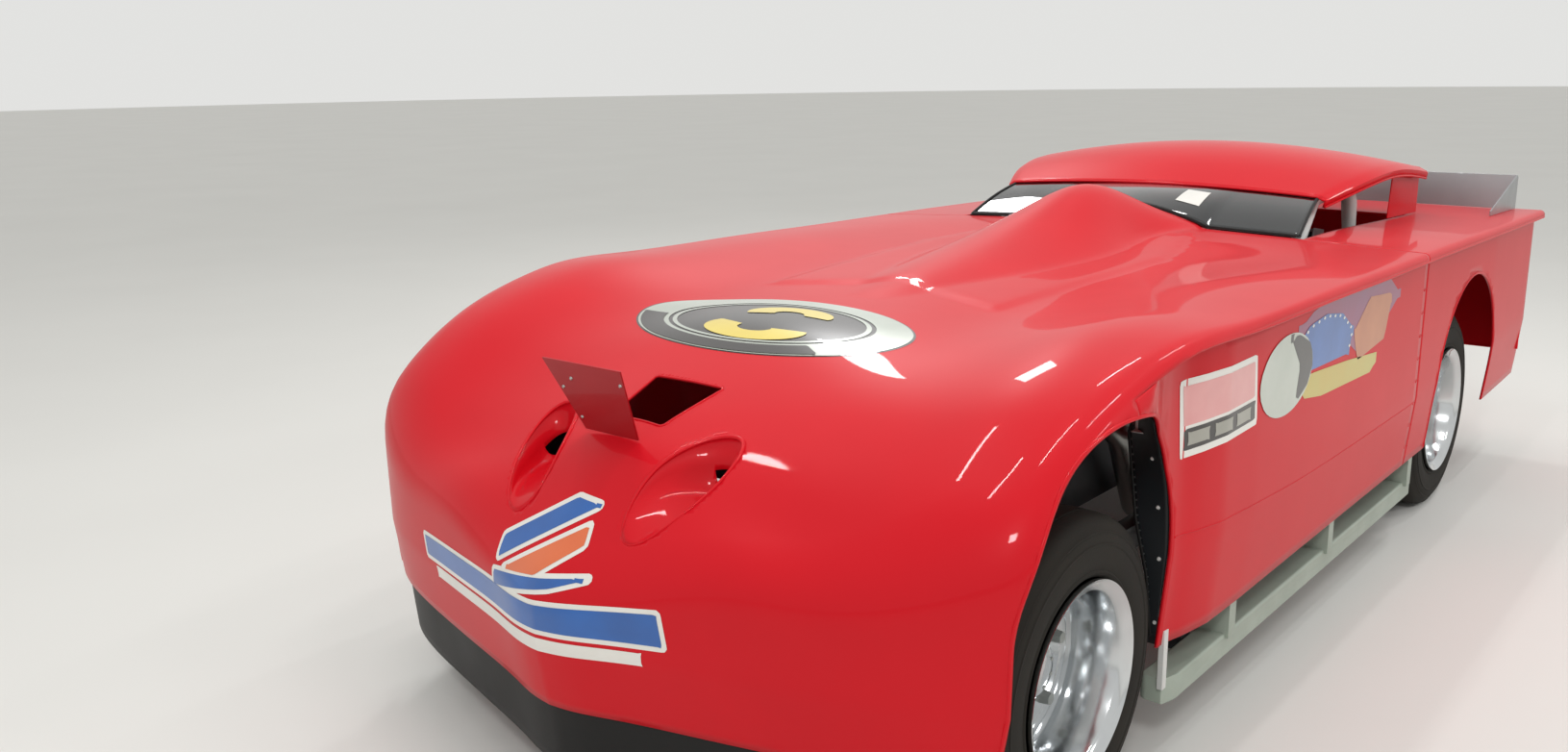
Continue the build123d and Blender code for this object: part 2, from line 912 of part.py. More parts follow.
# Rear axle: quick-change centre, tubes and spindles for the wheels
with BuildPart() as rear_axle:
    with BuildSketch(Plane.YZ):
        with Locations((rear_axle_y, tyre_radius)):
            Circle(axle_tube_radius)
    extrude(amount=hub_end_x - hub_end_gap, both=True)
    with BuildSketch(Plane.YZ):
        with Locations((rear_axle_y, tyre_radius)):
            Circle(spindle_radius)
    extrude(amount=spindle_end_x, both=True)
    with BuildSketch(Plane.YZ):
        with Locations((rear_axle_y, tyre_radius)):
            Circle(130)
    extrude(amount=75, both=True)
    with BuildSketch(Plane.YZ):
        with Locations((rear_axle_y + 120, tyre_radius - 6)):
            Circle(80)
    extrude(amount=60, both=True)
    for piece in (
        block((448, 504), (wheelbase, coil_station + 30), (axle_plate_z - 18, axle_plate_z)),
        block((446, 476), (wheelbase - 40, wheelbase + 40), (190, tyre_radius)),
    ):
        add(piece)
        mirror(piece, about=Plane.YZ)
keep(rear_axle, "rear_axle")

# Engine block, gearbox and driveshaft
shaft_height = 330
with BuildPart() as engine:
    add(block((-240, 240), (930, 1540), (255, 760)))
    chamfer(engine.edges().group_by(Axis.Z)[-1].filter_by(Axis.Y), 90)
    add(block((-130, 130), (1020, 1440), (760, 850)))
    with BuildSketch(Plane.XY.offset(850)):
        with Locations((0, at(1250))):
            Circle(165)
    extrude(amount=110)
keep(engine, "engine")
with BuildPart() as gearbox:
    with BuildSketch(Plane.XZ.offset(-at(1540 + seat_gap))):
        with Locations((0, shaft_height + 40)):
            Circle(165)
    with BuildSketch(Plane.XZ.offset(-at(1680))):
        with Locations((0, shaft_height + 10)):
            Circle(105)
    loft()
    with BuildSketch(Plane.XZ.offset(-at(1680))):
        with Locations((0, shaft_height)):
            Circle(90)
    extrude(amount=-380)
keep(gearbox, "gearbox")
with BuildPart() as driveshaft:
    with BuildSketch(Plane.XZ.offset(-at(2060 + seat_gap))):
        with Locations((0, shaft_height)):
            Circle(38)
    extrude(amount=-(wheelbase - 130 - 2060 - 4 * seat_gap))
keep(driveshaft, "driveshaft")

# Radiator behind the nose ducts
with BuildPart() as radiator:
    add(block((-290, 290), (-215, -165), (frame_top + seat_gap, 640)))
    fillet(radiator.edges().filter_by(Axis.Y), 12)
keep(radiator, "radiator")

# Fuel cell in the tail of the frame
with BuildPart() as fuel_cell:
    add(block((-310, 310), (3090, 3465), (tail_rail_top + seat_gap, 640)))
    fillet(fuel_cell.edges().filter_by(Axis.Z), 30)
keep(fuel_cell, "fuel_cell")

# Roll cage of round tube on the frame rails
tube_radius = cage_tube / 2
hoop_station = 2620
main_hoop = tube(
    [
        (frame_x, hoop_station, 560),
        (510, hoop_station, 860),
        (505, hoop_station, 1115),
        (-505, hoop_station, 1115),
        (-510, hoop_station, 860),
        (-frame_x, hoop_station, 560),
    ],
    90,
    tube_radius,
)
front_leg = tube(
    [
        (frame_x, 1990, frame_top - 4),
        (520, 1965, 500),
        (545, 1935, 900),
        (505, 2230, 1075),
        (500, hoop_station, 1115),
    ],
    60,
    tube_radius,
)
rear_stay = tube([(490, hoop_station, 1105), (frame_x, 3150, 380)], 0, tube_radius)
door_bars = [
    tube([(508, 1960, z), (508, hoop_station - 5, z)], 0, 19) for z in (640, 790)
]
dash_bar = tube([(-540, 1938, 880), (540, 1938, 880)], 0, 19)
seat_bar = tube([(-500, hoop_station, 800), (500, hoop_station, 800)], 0, 19)
with BuildPart() as roll_cage:
    add(main_hoop)
    add(dash_bar)
    add(seat_bar)
    for piece in (front_leg, rear_stay, *door_bars):
        add(piece)
        mirror(piece, about=Plane.YZ)
    add(frame.part, mode=Mode.SUBTRACT)
keep(roll_cage, "roll_cage")

# Nose flap standing behind the ducts
with BuildPart() as nose_flap:
    with BuildSketch(Plane((0, at(-400), 800), x_dir=(1, 0, 0), z_dir=(0, -1.9, -0.9))):
        with BuildLine():
            Polyline((-68, -40), (68, -40), (116, 190), (-116, 190), close=True)
        make_face()
    extrude(amount=flap_thickness)
    add(cowl_space, mode=Mode.SUBTRACT)
keep(nose_flap, "nose_flap")

# Floor, tunnel and firewall of flat sheet
tunnel_half_width = 108
tunnel_top = 460
floor_front = 1850
floor_rear = 2300
floor_half_width = 470
floor_z = frame_top + seat_gap
with BuildPart() as floor_pan:
    add(
        block(
            (-floor_half_width, floor_half_width),
            (floor_front, floor_rear),
            (floor_z, floor_z + floor_thickness),
        )
    )
    add(
        block(
            (-tunnel_half_width, tunnel_half_width), (floor_front, floor_rear), (floor_z, tunnel_top)
        )
    )
    add(
        block((-floor_half_width, floor_half_width), (floor_front, floor_front + 4), (floor_z, 900))
    )
    add(
        block(
            (floor_thickness - tunnel_half_width, tunnel_half_width - floor_thickness),
            (floor_front - 10, floor_rear + 10),
            (0, tunnel_top - floor_thickness),
        ),
        mode=Mode.SUBTRACT,
    )
    for side in (1, -1):
        add(
            block((side * 360, side * 500), (1945, 2035), (0, floor_z + 60)),
            mode=Mode.SUBTRACT,
        )
keep(floor_pan, "floor_pan")

# Sheet deck beside the driver
deck_edge_x = 20
with BuildPart() as interior_panels:
    add(block((-478, deck_edge_x), (floor_front + 5, 2540), (757, 760)))
    add(
        block(
            (deck_edge_x - 3, deck_edge_x), (floor_front + 5, floor_rear), (tunnel_top + seat_gap, 760)
        )
    )
keep(interior_panels, "interior_panels")

# Bucket seat bent from sheet, with its pad
seat_x = 302
seat_half_width = 183
seat_sheet = 5


def seat_slab(points, half_width):
    """A piece of the seat drawn in side view as stations and heights."""
    with BuildPart() as piece:
        with BuildSketch(Plane.YZ.offset(seat_x)):
            with BuildLine():
                Polyline(*[(at(station), z) for station, z in points], close=True)
            make_face()
        extrude(amount=half_width, both=True)
    return piece.part


SEAT_LINE = [(2030, 360), (2290, 325), (2425, 960)]
seat_shell = seat_slab(
    [*SEAT_LINE, (2430, 959), (2294, 320), (2030, 355)],
    seat_half_width,
)
wing_outline = [
    (2030, 440),
    (2030, 355),
    (2294, 320),
    (2430, 959),
    (2330, 975),
    (2255, 700),
    (2200, 500),
]
wings = seat_slab(wing_outline, seat_half_width)
between_wings = seat_slab(wing_outline, seat_half_width - seat_sheet)
seat_foot_z = floor_z + floor_thickness + seat_gap
with BuildPart() as seat:
    add(wings)
    add(between_wings, mode=Mode.SUBTRACT)
    add(seat_shell)
    for x in (seat_x - 150, seat_x + 150):
        for station in (2060, 2240):
            add(
                block((x - 15, x + 15), (station - 15, station + 15), (seat_foot_z, 327))
            )
keep(seat, "seat")
with BuildPart() as seat_pad:
    add(
        seat_slab(
            [
                *[(station - seat_gap, z + 1.5 * seat_gap) for station, z in SEAT_LINE],
                (2395, 965),
                (2262, 362),
                (2030 - seat_gap, 390),
            ],
            seat_half_width - seat_sheet - 1,
        )
    )
keep(seat_pad, "seat_pad")

# Steering wheel on its column
steering_wheel_radius = 165
wheel_place = Plane((seat_x, at(2060), 800), x_dir=(1, 0, 0), z_dir=(0, 0.906, 0.423))
with BuildPart() as steering_wheel:
    with BuildSketch(wheel_place):
        Circle(32)
        with PolarLocations(0, 3, start_angle=90):
            with Locations((steering_wheel_radius / 2, 0)):
                Rectangle(steering_wheel_radius, 26)
    extrude(amount=4)
    with BuildSketch(wheel_place.offset(2)):
        Circle(16)
    extrude(amount=-240)
    with BuildSketch(Plane(wheel_place.origin, x_dir=wheel_place.x_dir, z_dir=wheel_place.y_dir)):
        with Locations((steering_wheel_radius, 0)):
            Circle(13)
    revolve(axis=Axis(wheel_place.origin, wheel_place.z_dir))
    add(block((0, 600), (1500, floor_front + 4 + seat_gap), (0, 1500)), mode=Mode.SUBTRACT)
keep(steering_wheel, "steering_wheel")

# Exhausts under the floor
with BuildPart() as exhaust:
    side_pipe = tube(
        [(250, 1250, 500), (320, 1250, 500), (300, 1430, 195), (290, 2040, 195)], 60, 36
    )
    log = block((240 + seat_gap, 300), (1000, 1480), (470, 530))
    for piece in (side_pipe, log):
        add(piece)
        mirror(piece, about=Plane.YZ)
    add(
        block((-240 - seat_gap, 240 + seat_gap), (900, 1600), (400, 700)), mode=Mode.SUBTRACT
    )
keep(exhaust, "exhaust")

# Trailing links of the rear axle
with BuildPart() as rear_links:
    link = tube([(461, 2105 + seat_gap, 208), (461, wheelbase - 40 - seat_gap, 208)], 0, 13)
    add(link)
    mirror(link, about=Plane.YZ)
keep(rear_links, "rear_links")

# Liner behind each front arch: a flange on the panel and a plate leaning in behind the tyre
liner_thickness = 3
liner_bottom = 320
liner_top = 860
liner_rear = 385
liner_front = arch_station + arch_radius + 8
liner_lean = (84, 65)
with BuildPart() as wheel_liner:
    with BuildSketch(Plane.XY.offset(liner_bottom)):
        with BuildLine():
            Polyline(
                (side_reach, at(liner_front)),
                (side_reach, at(liner_rear)),
                (side_region_x, at(liner_rear)),
                (side_region_x, at(liner_front)),
                close=True,
            )
        make_face()
    extrude(amount=liner_top - liner_bottom)
    add(panel_clearance, mode=Mode.INTERSECT)
    add(side_space(wall + seat_gap + liner_thickness), mode=Mode.SUBTRACT)
    edge_x = panel_foot_x - 40 - wall
    with BuildSketch(Plane.XY.offset(liner_bottom)):
        with BuildLine():
            Polyline(
                (edge_x + 15, at(liner_front)),
                (edge_x, at(liner_front)),
                (edge_x - liner_lean[0], at(liner_front + liner_lean[1])),
                (edge_x - liner_lean[0] + 2, at(liner_front + liner_lean[1] + 3)),
                (edge_x + 2, at(liner_front + 3)),
                (edge_x + 15, at(liner_front + 3)),
                close=True,
            )
        make_face()
    extrude(amount=liner_top - liner_bottom)
    add(panel_clearance, mode=Mode.INTERSECT)
keep_pair(wheel_liner, "wheel_liner")
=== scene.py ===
import json
import math

import bmesh
import bpy
import numpy as np
from mathutils import Matrix, Vector
from mathutils.bvhtree import BVHTree


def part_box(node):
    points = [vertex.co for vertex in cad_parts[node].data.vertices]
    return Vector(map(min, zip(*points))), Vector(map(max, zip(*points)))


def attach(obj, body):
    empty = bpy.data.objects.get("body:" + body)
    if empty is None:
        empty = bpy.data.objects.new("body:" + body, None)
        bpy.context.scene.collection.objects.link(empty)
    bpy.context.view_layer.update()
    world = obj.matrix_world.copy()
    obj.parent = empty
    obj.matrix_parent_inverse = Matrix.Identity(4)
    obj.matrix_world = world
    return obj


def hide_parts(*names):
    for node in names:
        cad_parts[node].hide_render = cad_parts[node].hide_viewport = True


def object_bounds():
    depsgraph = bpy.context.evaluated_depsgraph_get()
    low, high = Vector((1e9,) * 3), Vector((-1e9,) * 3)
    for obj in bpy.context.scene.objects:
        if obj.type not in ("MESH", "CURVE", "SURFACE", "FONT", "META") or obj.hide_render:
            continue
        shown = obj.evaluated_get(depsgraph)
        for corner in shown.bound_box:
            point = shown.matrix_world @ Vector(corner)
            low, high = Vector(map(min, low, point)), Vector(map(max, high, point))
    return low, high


# The dress of a wedge-bodied dirt-oval stock car, in metres. X points to the car's left,
# Y to its tail and Z up. Stations run rearwards from the front axle.
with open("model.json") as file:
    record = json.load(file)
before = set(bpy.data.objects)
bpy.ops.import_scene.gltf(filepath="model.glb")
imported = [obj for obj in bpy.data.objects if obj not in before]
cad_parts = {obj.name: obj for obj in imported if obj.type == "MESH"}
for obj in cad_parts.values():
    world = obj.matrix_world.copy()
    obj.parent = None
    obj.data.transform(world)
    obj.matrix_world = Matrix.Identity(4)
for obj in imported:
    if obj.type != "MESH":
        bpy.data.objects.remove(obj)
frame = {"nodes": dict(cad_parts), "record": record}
cad_low, cad_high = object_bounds()
nodes = frame["nodes"]


# Places read from the frame
def middle(node):
    low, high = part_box(node)
    return (low + high) / 2


front_axle_y = middle("front_tyre_left").y
rear_axle_y = middle("rear_tyre_left").y
tyre_radius = middle("front_tyre_left").z
tail_y = cad_high.y
tail_station = tail_y - front_axle_y

# Driving sizes of the skin
skin_thickness = 0.006
lip_drop = 0.027
door_front = 0.0
door_rear = 2.02
cab_front = 1.88
cab_rear = 2.96
cab_half_width = 0.60
arch_station = -0.018
arch_radius = 0.348
arch_centre_height = 0.550
rear_arch_station = rear_axle_y - front_axle_y
rear_arch_radius = 0.385
rear_arch_centre_height = 0.43
# The wheel arches: station, radius, height of the centre
ARCHES = [
    (arch_station, arch_radius, arch_centre_height),
    (rear_arch_station, rear_arch_radius, rear_arch_centre_height),
]
seam_gap = 0.0015
bead_radius = 0.004

# Steps of the skin's net: along the nose and the flank, then up the foot, the panel, round the
# shoulder and across the top
NOSE_STEPS, FLANK_STEPS = 112, 136
FOOT_STEPS, PANEL_STEPS, SHOULDER_STEPS, TOP_STEPS = 9, 14, 9, 58

# Sections of the skin round its plan outline, from the nose's middle to the tail.
# Columns: half width, station, station where the section meets the middle line, foot height,
# foot inset, knee height, knee inset, shoulder radius
SECTIONS = [
    (0.000, -0.664, -0.190, 0.282, 0.027, 0.430, 0.002, 0.055),
    (0.055, -0.657, -0.160, 0.282, 0.027, 0.430, 0.002, 0.055),
    (0.160, -0.627, -0.110, 0.282, 0.027, 0.430, 0.002, 0.055),
    (0.320, -0.582, -0.040, 0.282, 0.026, 0.430, 0.002, 0.060),
    (0.475, -0.540, 0.030, 0.282, 0.025, 0.430, 0.002, 0.070),
    (0.620, -0.500, 0.090, 0.284, 0.024, 0.430, 0.002, 0.085),
    (0.755, -0.455, 0.150, 0.286, 0.022, 0.430, 0.002, 0.100),
    (0.860, -0.405, 0.200, 0.288, 0.020, 0.430, 0.002, 0.110),
    (0.925, -0.350, 0.250, 0.290, 0.020, 0.430, 0.003, 0.110),
    (0.945, -0.270, 0.300, 0.290, 0.022, 0.440, 0.005, 0.105),
    (0.953, -0.150, 0.350, 0.292, 0.030, 0.460, 0.010, 0.095),
    (0.957, 0.000, 0.410, 0.294, 0.040, 0.480, 0.016, 0.080),
    (0.960, 0.200, 0.500, 0.296, 0.050, 0.500, 0.024, 0.055),
    (0.961, 0.500, 0.700, 0.298, 0.055, 0.520, 0.030, 0.026),
    (0.962, 1.050, 1.100, 0.300, 0.055, 0.520, 0.032, 0.020),
    (0.962, 1.450, 1.450, 0.300, 0.055, 0.520, 0.032, 0.020),
    (0.962, 1.880, 1.880, 0.300, 0.055, 0.520, 0.032, 0.020),
    (0.962, 2.300, 2.300, 0.300, 0.055, 0.520, 0.032, 0.020),
    (0.960, 2.700, 2.700, 0.300, 0.055, 0.520, 0.032, 0.020),
    (0.954, 3.130, 3.130, 0.300, 0.055, 0.520, 0.032, 0.020),
    (0.945, tail_station, tail_station, 0.300, 0.055, 0.520, 0.032, 0.020),
]

# Heights of the top of the skin: station, then the height at each of TOP_WIDTHS
TOP_WIDTHS = (0.0, 0.20, 0.41, 0.60, 0.76, 0.93)
TOP_HEIGHTS = [
    (-0.660, 0.545, 0.520, 0.500, 0.480, 0.470, 0.460),
    (-0.545, 0.670, 0.655, 0.640, 0.610, 0.590, 0.580),
    (-0.450, 0.775, 0.745, 0.705, 0.690, 0.690, 0.680),
    (-0.376, 0.818, 0.795, 0.762, 0.755, 0.765, 0.755),
    (-0.280, 0.849, 0.838, 0.820, 0.822, 0.840, 0.828),
    (-0.172, 0.880, 0.874, 0.868, 0.880, 0.905, 0.893),
    (-0.060, 0.912, 0.908, 0.902, 0.920, 0.950, 0.940),
    (0.070, 0.945, 0.938, 0.928, 0.952, 0.985, 0.975),
    (0.250, 0.958, 0.953, 0.948, 0.978, 1.010, 1.003),
    (0.500, 0.968, 0.964, 0.960, 0.985, 1.006, 1.000),
    (1.050, 0.978, 0.977, 0.976, 0.988, 0.998, 0.992),
    (1.450, 1.000, 0.990, 0.985, 0.988, 0.991, 0.985),
    (1.880, 1.016, 1.010, 1.002, 0.995, 0.988, 0.980),
    (2.700, 0.985, 0.982, 0.978, 0.973, 0.970, 0.965),
    (3.560, 0.955, 0.953, 0.950, 0.948, 0.946, 0.945),
]

# The side panels' plane by station, and the tuck of their lower part
PANEL_PLANE = [
    (-0.10, 0.957), (0.0, 0.957), (0.06, 0.953), (0.14, 0.928), (0.22, 0.900), (0.29, 0.888), (0.36, 0.889),
    (0.43, 0.906), (0.52, 0.921), (0.70, 0.925), (1.50, 0.925), (2.90, 0.925), (3.56, 0.911),
]
panel_knee = 0.52
panel_tuck = 0.020

# The bonnet's hump over the carburettor: station, half width, rise
HUMP = [
    (0.43, 0.06, 0.000),
    (0.90, 0.20, 0.040),
    (1.35, 0.25, 0.105),
    (1.62, 0.22, 0.138),
    (1.75, 0.24, 0.110),
    (1.90, 0.30, 0.040),
]
# The bonnet's raised panel, half width and station of its corners from the middle of its front
PANEL = [(0.0, 0.610), (0.254, 0.527), (0.499, 0.438), (0.543, 0.728), (0.402, 1.356), (0.430, 1.90)]
panel_rise = 0.008
panel_run = 0.016


def natural_spline(knots, values):
    """The cubic that passes through every value and bends least, with one column of values a curve."""
    knots = np.asarray(knots, float)
    values = np.asarray(values, float).reshape(len(knots), -1)
    step = np.diff(knots)
    rows = np.eye(len(knots))
    right = np.zeros_like(values)
    slope = np.diff(values, axis=0) / step[:, None]
    for row in range(1, len(knots) - 1):
        rows[row, row - 1 : row + 2] = step[row - 1], 2 * (step[row - 1] + step[row]), step[row]
        right[row] = 6 * (slope[row] - slope[row - 1])
    bend = np.linalg.solve(rows, right)

    def curve(places, columns=None):
        places = np.asarray(places, float)
        low = np.clip(np.searchsorted(knots, places, side="right") - 1, 0, len(knots) - 2)
        gap = step[low]
        after = (places - knots[low]) / gap
        before = 1 - after
        if columns is None:
            pick = lambda table, row: table[row]
            before, after, gap = before[:, None], after[:, None], gap[:, None]
        else:
            pick = lambda table, row: table[row, columns]
        line = before * pick(values, low) + after * pick(values, low + 1)
        lean = (before**3 - before) * pick(bend, low) + (after**3 - after) * pick(bend, low + 1)
        return line + lean * gap**2 / 6

    return curve


section_rows = np.array(SECTIONS)
outline_run = np.concatenate([[0], np.cumsum(np.hypot(*np.diff(section_rows[:, :2], axis=0).T))])
section_along = natural_spline(outline_run, section_rows)
# The straight flank begins at the thirteenth section, and the air dam ends at the eighth
flank_run, dam_run = outline_run[12], outline_run[7]
top_rows = np.array(TOP_HEIGHTS)
top_by_station = natural_spline(top_rows[:, 0], top_rows[:, 1:])
hump_rows = np.array(HUMP)
hump_by_station = natural_spline(hump_rows[:, 0], hump_rows[:, 1:])
mirrored_widths = np.array([-w for w in reversed(TOP_WIDTHS[1:])] + list(TOP_WIDTHS))


def hump_rise(x, station):
    """How far the hump stands above the bonnet."""
    inside = np.clip(station, HUMP[0][0], HUMP[-1][0])
    width, rise = hump_by_station(inside).T
    share = np.clip(1 - (x / np.maximum(width, 0.03)) ** 2, 0, 1)
    fade = np.where((station < HUMP[0][0]) | (station > HUMP[-1][0] + 0.001), 0.0, 1.0)
    return fade * np.maximum(rise, 0) * share**1.3


def panel_edge(x, station, ends):
    """How far a place lies inside the line between two corners of the raised panel."""
    (x0, s0), (x1, s1) = ends
    length = math.hypot(x1 - x0, s1 - s0)
    return ((s1 - s0) * (x0 - x) - (x1 - x0) * (s0 - station)) / length


def panel_distance(x, station):
    """How far a place lies inside the raised panel's outline, negative outside it."""
    x = np.abs(x)
    nearest = np.full(np.shape(x), 9.0)
    for ends in zip(PANEL, PANEL[1:]):
        nearest = np.minimum(nearest, panel_edge(x, station, ends))
    return nearest


def ridge_rise(x, station):
    """The soft crease down the middle of the nose."""
    strength = np.clip((-0.40 - station) / 0.10, 0, 1)
    return 0.004 * strength * np.exp(-((x / 0.06) ** 2))


def top_height(x, station):
    """Height of the skin's top at places given by half width and station."""
    x = np.atleast_1d(np.asarray(x, float))
    station = np.broadcast_to(np.asarray(station, float), x.shape)
    heights = top_by_station(station)
    across = np.concatenate([heights[:, :0:-1], heights], axis=1)
    curve = natural_spline(mirrored_widths, across.T)
    z = curve(np.clip(x, -0.97, 0.97), np.arange(len(x)))
    inside = np.clip(panel_distance(x, station), 0, None)
    z = z + panel_rise * (1 - np.exp(-inside / panel_run))
    return z + hump_rise(x, station) + ridge_rise(x, station)


lip_stations = np.linspace(-0.2, TOP_HEIGHTS[-1][0], 300)
lip_heights = top_by_station(lip_stations)[:, -1] - lip_drop
panel_rows = np.array(PANEL_PLANE)


def lip_line(station):
    """Height of the lip over the side panels."""
    return float(np.interp(station, lip_stations, lip_heights))


def panel_x(station, z):
    """Half width of the side panels at a station and height."""
    lean = np.clip((panel_knee - z) / (panel_knee - 0.3), 0, 1.2)
    return np.interp(station, panel_rows[:, 0], panel_rows[:, 1]) - panel_tuck * lean


def skin_grid():
    """Places of the left half of the skin: outline steps by section steps."""
    nose_steps = np.linspace(0, flank_run, NOSE_STEPS)[:-1]
    steps = np.concatenate([nose_steps, np.linspace(flank_run, outline_run[-1], FLANK_STEPS)])
    rows = section_along(steps)
    x, station, end, foot_z, foot_in, knee_z, knee_in, radius = rows.T
    x[0] = 0
    tangent = np.gradient(rows[:, :2], steps, axis=0)
    tangent /= np.linalg.norm(tangent, axis=1)[:, None]
    # The inward direction in plan is a quarter turn from the outline's own direction
    inward = np.stack([-tangent[:, 1], tangent[:, 0]], axis=1)
    inward[0] = (0, 1)
    corner_z = top_height(x, station)
    flank = []
    for share in np.linspace(0, 1, FOOT_STEPS)[:-1]:
        inset = foot_in + (knee_in - foot_in) * share
        flank.append((inset, foot_z + (knee_z - foot_z) * share))
    for share in np.linspace(0, 1, PANEL_STEPS)[:-1]:
        height = knee_z + (corner_z - radius - knee_z) * share
        flank.append((knee_in * (1 - share) ** 1.5, height))
    columns = []
    for inset, z in flank:
        columns.append(np.stack([x + inward[:, 0] * inset, station + inward[:, 1] * inset, z], 1))
    target = np.stack([np.zeros_like(x), end], 1)
    start = np.stack([x, station], 1)
    reach = target - start
    span = np.linalg.norm(reach, axis=1)
    inner = start + reach * (radius / span)[:, None]
    inner_z = top_height(inner[:, 0], inner[:, 1])
    low = np.stack([x, station, corner_z - radius], 1)
    high = np.stack([inner[:, 0], inner[:, 1], inner_z], 1)
    bend = np.stack([x, station, corner_z], 1)
    for share in np.linspace(0, 1, SHOULDER_STEPS)[:-1]:
        columns.append(low * (1 - share) ** 2 + 2 * bend * share * (1 - share) + high * share**2)
    for share in np.linspace(0, 1, TOP_STEPS):
        flat = inner + (target - inner) * share
        columns.append(np.stack([flat[:, 0], flat[:, 1], top_height(flat[:, 0], flat[:, 1])], 1))
    return np.stack(columns, axis=1)


def to_world(place):
    """The frame's place for a half width, station and height."""
    return Vector((place[0], place[1] + front_axle_y, place[2]))


def station_of(place):
    return place.y - front_axle_y


# Mesh helpers
def turns(count, start=0.0):
    """Angles at equal steps round a full turn."""
    return [start + 2 * math.pi * step / count for step in range(count)]


def from_bmesh(name, bm, material, smooth_angle=35, recalculate=False):
    """A new object at the origin whose place is in its mesh."""
    if recalculate:
        bmesh.ops.remove_doubles(bm, verts=bm.verts, dist=1e-6)
        bmesh.ops.recalc_face_normals(bm, faces=bm.faces)
    mesh = bpy.data.meshes.new(name)
    bm.to_mesh(mesh)
    bm.free()
    obj = bpy.data.objects.new(name, mesh)
    bpy.context.scene.collection.objects.link(obj)
    mesh.materials.append(material)
    mesh.shade_smooth()
    mesh.set_sharp_from_angle(angle=math.radians(smooth_angle))
    return obj


def add_piece(
    name, bm, finish_name, angle=60, node=None, body="chassis", slot=None, wall=0.0, wall_offset=0,
    rounding=0.0, recalculate=True,
):
    """A finished piece that rides on a body and may stand for a CAD node."""
    obj = from_bmesh(name, bm, finishes[finish_name], angle, recalculate)
    if wall:
        thickened = obj.modifiers.new("wall", "SOLIDIFY")
        thickened.thickness = wall
        thickened.offset = wall_offset
    if rounding:
        edges = obj.modifiers.new("edges", "BEVEL")
        edges.width = rounding
        edges.segments = 2
        edges.limit_method = "ANGLE"
        edges.angle_limit = math.radians(35)
        edges.use_clamp_overlap = True
    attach(obj, body)
    if node:
        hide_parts(node)
    slot or FINISHES[finish_name][0]
    return obj


def merged_copy(node, join_flats=True):
    """A copy of a CAD node's mesh with its doubles merged, and its flat faces joined if asked."""
    bm = bmesh.new()
    bm.from_mesh(nodes[node].data)
    bmesh.ops.remove_doubles(bm, verts=bm.verts, dist=1e-5)
    if join_flats:
        bmesh.ops.dissolve_limit(bm, angle_limit=math.radians(1.5), verts=bm.verts, edges=bm.edges)
    return bm


def grid_faces(bm, rows, wrap_rows=False, wrap_columns=False):
    """Fills a net of vertices, given as rows of equal length, with four-sided faces."""
    count, width = len(rows), len(rows[0])
    for i in range(count if wrap_rows else count - 1):
        near, far = rows[i], rows[(i + 1) % count]
        for j in range(width if wrap_columns else width - 1):
            k = (j + 1) % width
            ring = list(dict.fromkeys([near[j], near[k], far[k], far[j]]))
            if len(ring) > 2:
                bm.faces.new(ring)


def fill_net(bm, place, us, vs, flip=False, **wrap):
    """A sheet of faces through place(u, v) at every u and v."""
    rows = [[bm.verts.new(place(u, v)) for v in vs] for u in us]
    grid_faces(bm, rows[::-1] if flip else rows, **wrap)
    return rows


def solid_box(bm, low, high):
    """A box between two corners, whose x values may come in either order."""
    across = sorted((low[0], high[0]))
    verts = [bm.verts.new((x, y, z)) for x in across for y in (low[1], high[1]) for z in (low[2], high[2])]
    for face in ((0, 1, 3, 2), (4, 6, 7, 5), (0, 4, 5, 1), (2, 3, 7, 6), (0, 2, 6, 4), (1, 5, 7, 3)):
        bm.faces.new([verts[i] for i in face])


def lathe(bm, profile, centre, segments, side):
    """Turns a profile of (x, radius) round an axis along X through centre."""

    def place(angle, point):
        x, radius = point
        return (side * x, centre.y + radius * math.cos(angle), centre.z + radius * math.sin(angle))

    fill_net(bm, place, turns(segments), profile, wrap_rows=True, wrap_columns=True)


def tube_along(bm, points, radius, sides=12, closed=False):
    """A round tube through the points, of one radius or one for each point, its ends closed."""
    points = [Vector(p) for p in points]
    radii = radius if isinstance(radius, (list, tuple)) else [radius] * len(points)
    rings = []
    normal = None
    for i, point in enumerate(points):
        if closed:
            ahead = points[(i + 1) % len(points)] - points[i - 1]
        else:
            ahead = points[min(i + 1, len(points) - 1)] - points[max(i - 1, 0)]
        ahead.normalize()
        if normal is None:
            normal = ahead.orthogonal().normalized()
        normal = (normal - ahead * normal.dot(ahead)).normalized()
        other = ahead.cross(normal)
        ring = []
        for turn in turns(sides):
            ring.append(point + radii[i] * math.cos(turn) * normal + radii[i] * math.sin(turn) * other)
        rings.append([bm.verts.new(place) for place in ring])
    grid_faces(bm, rings, wrap_rows=closed, wrap_columns=True)
    if not closed:
        bm.faces.new(list(reversed(rings[0])))
        bm.faces.new(rings[-1])


def ray_spots(tree, starts, way):
    """Where rays that run one way from their starts meet a surface, with the direction it faces there."""
    spots = []
    for start in starts:
        place, normal = tree.ray_cast(Vector(start), Vector(way))[:2]
        if place is not None:
            spots.append((place, normal if normal.dot(Vector(way)) < 0 else -normal))
    return spots


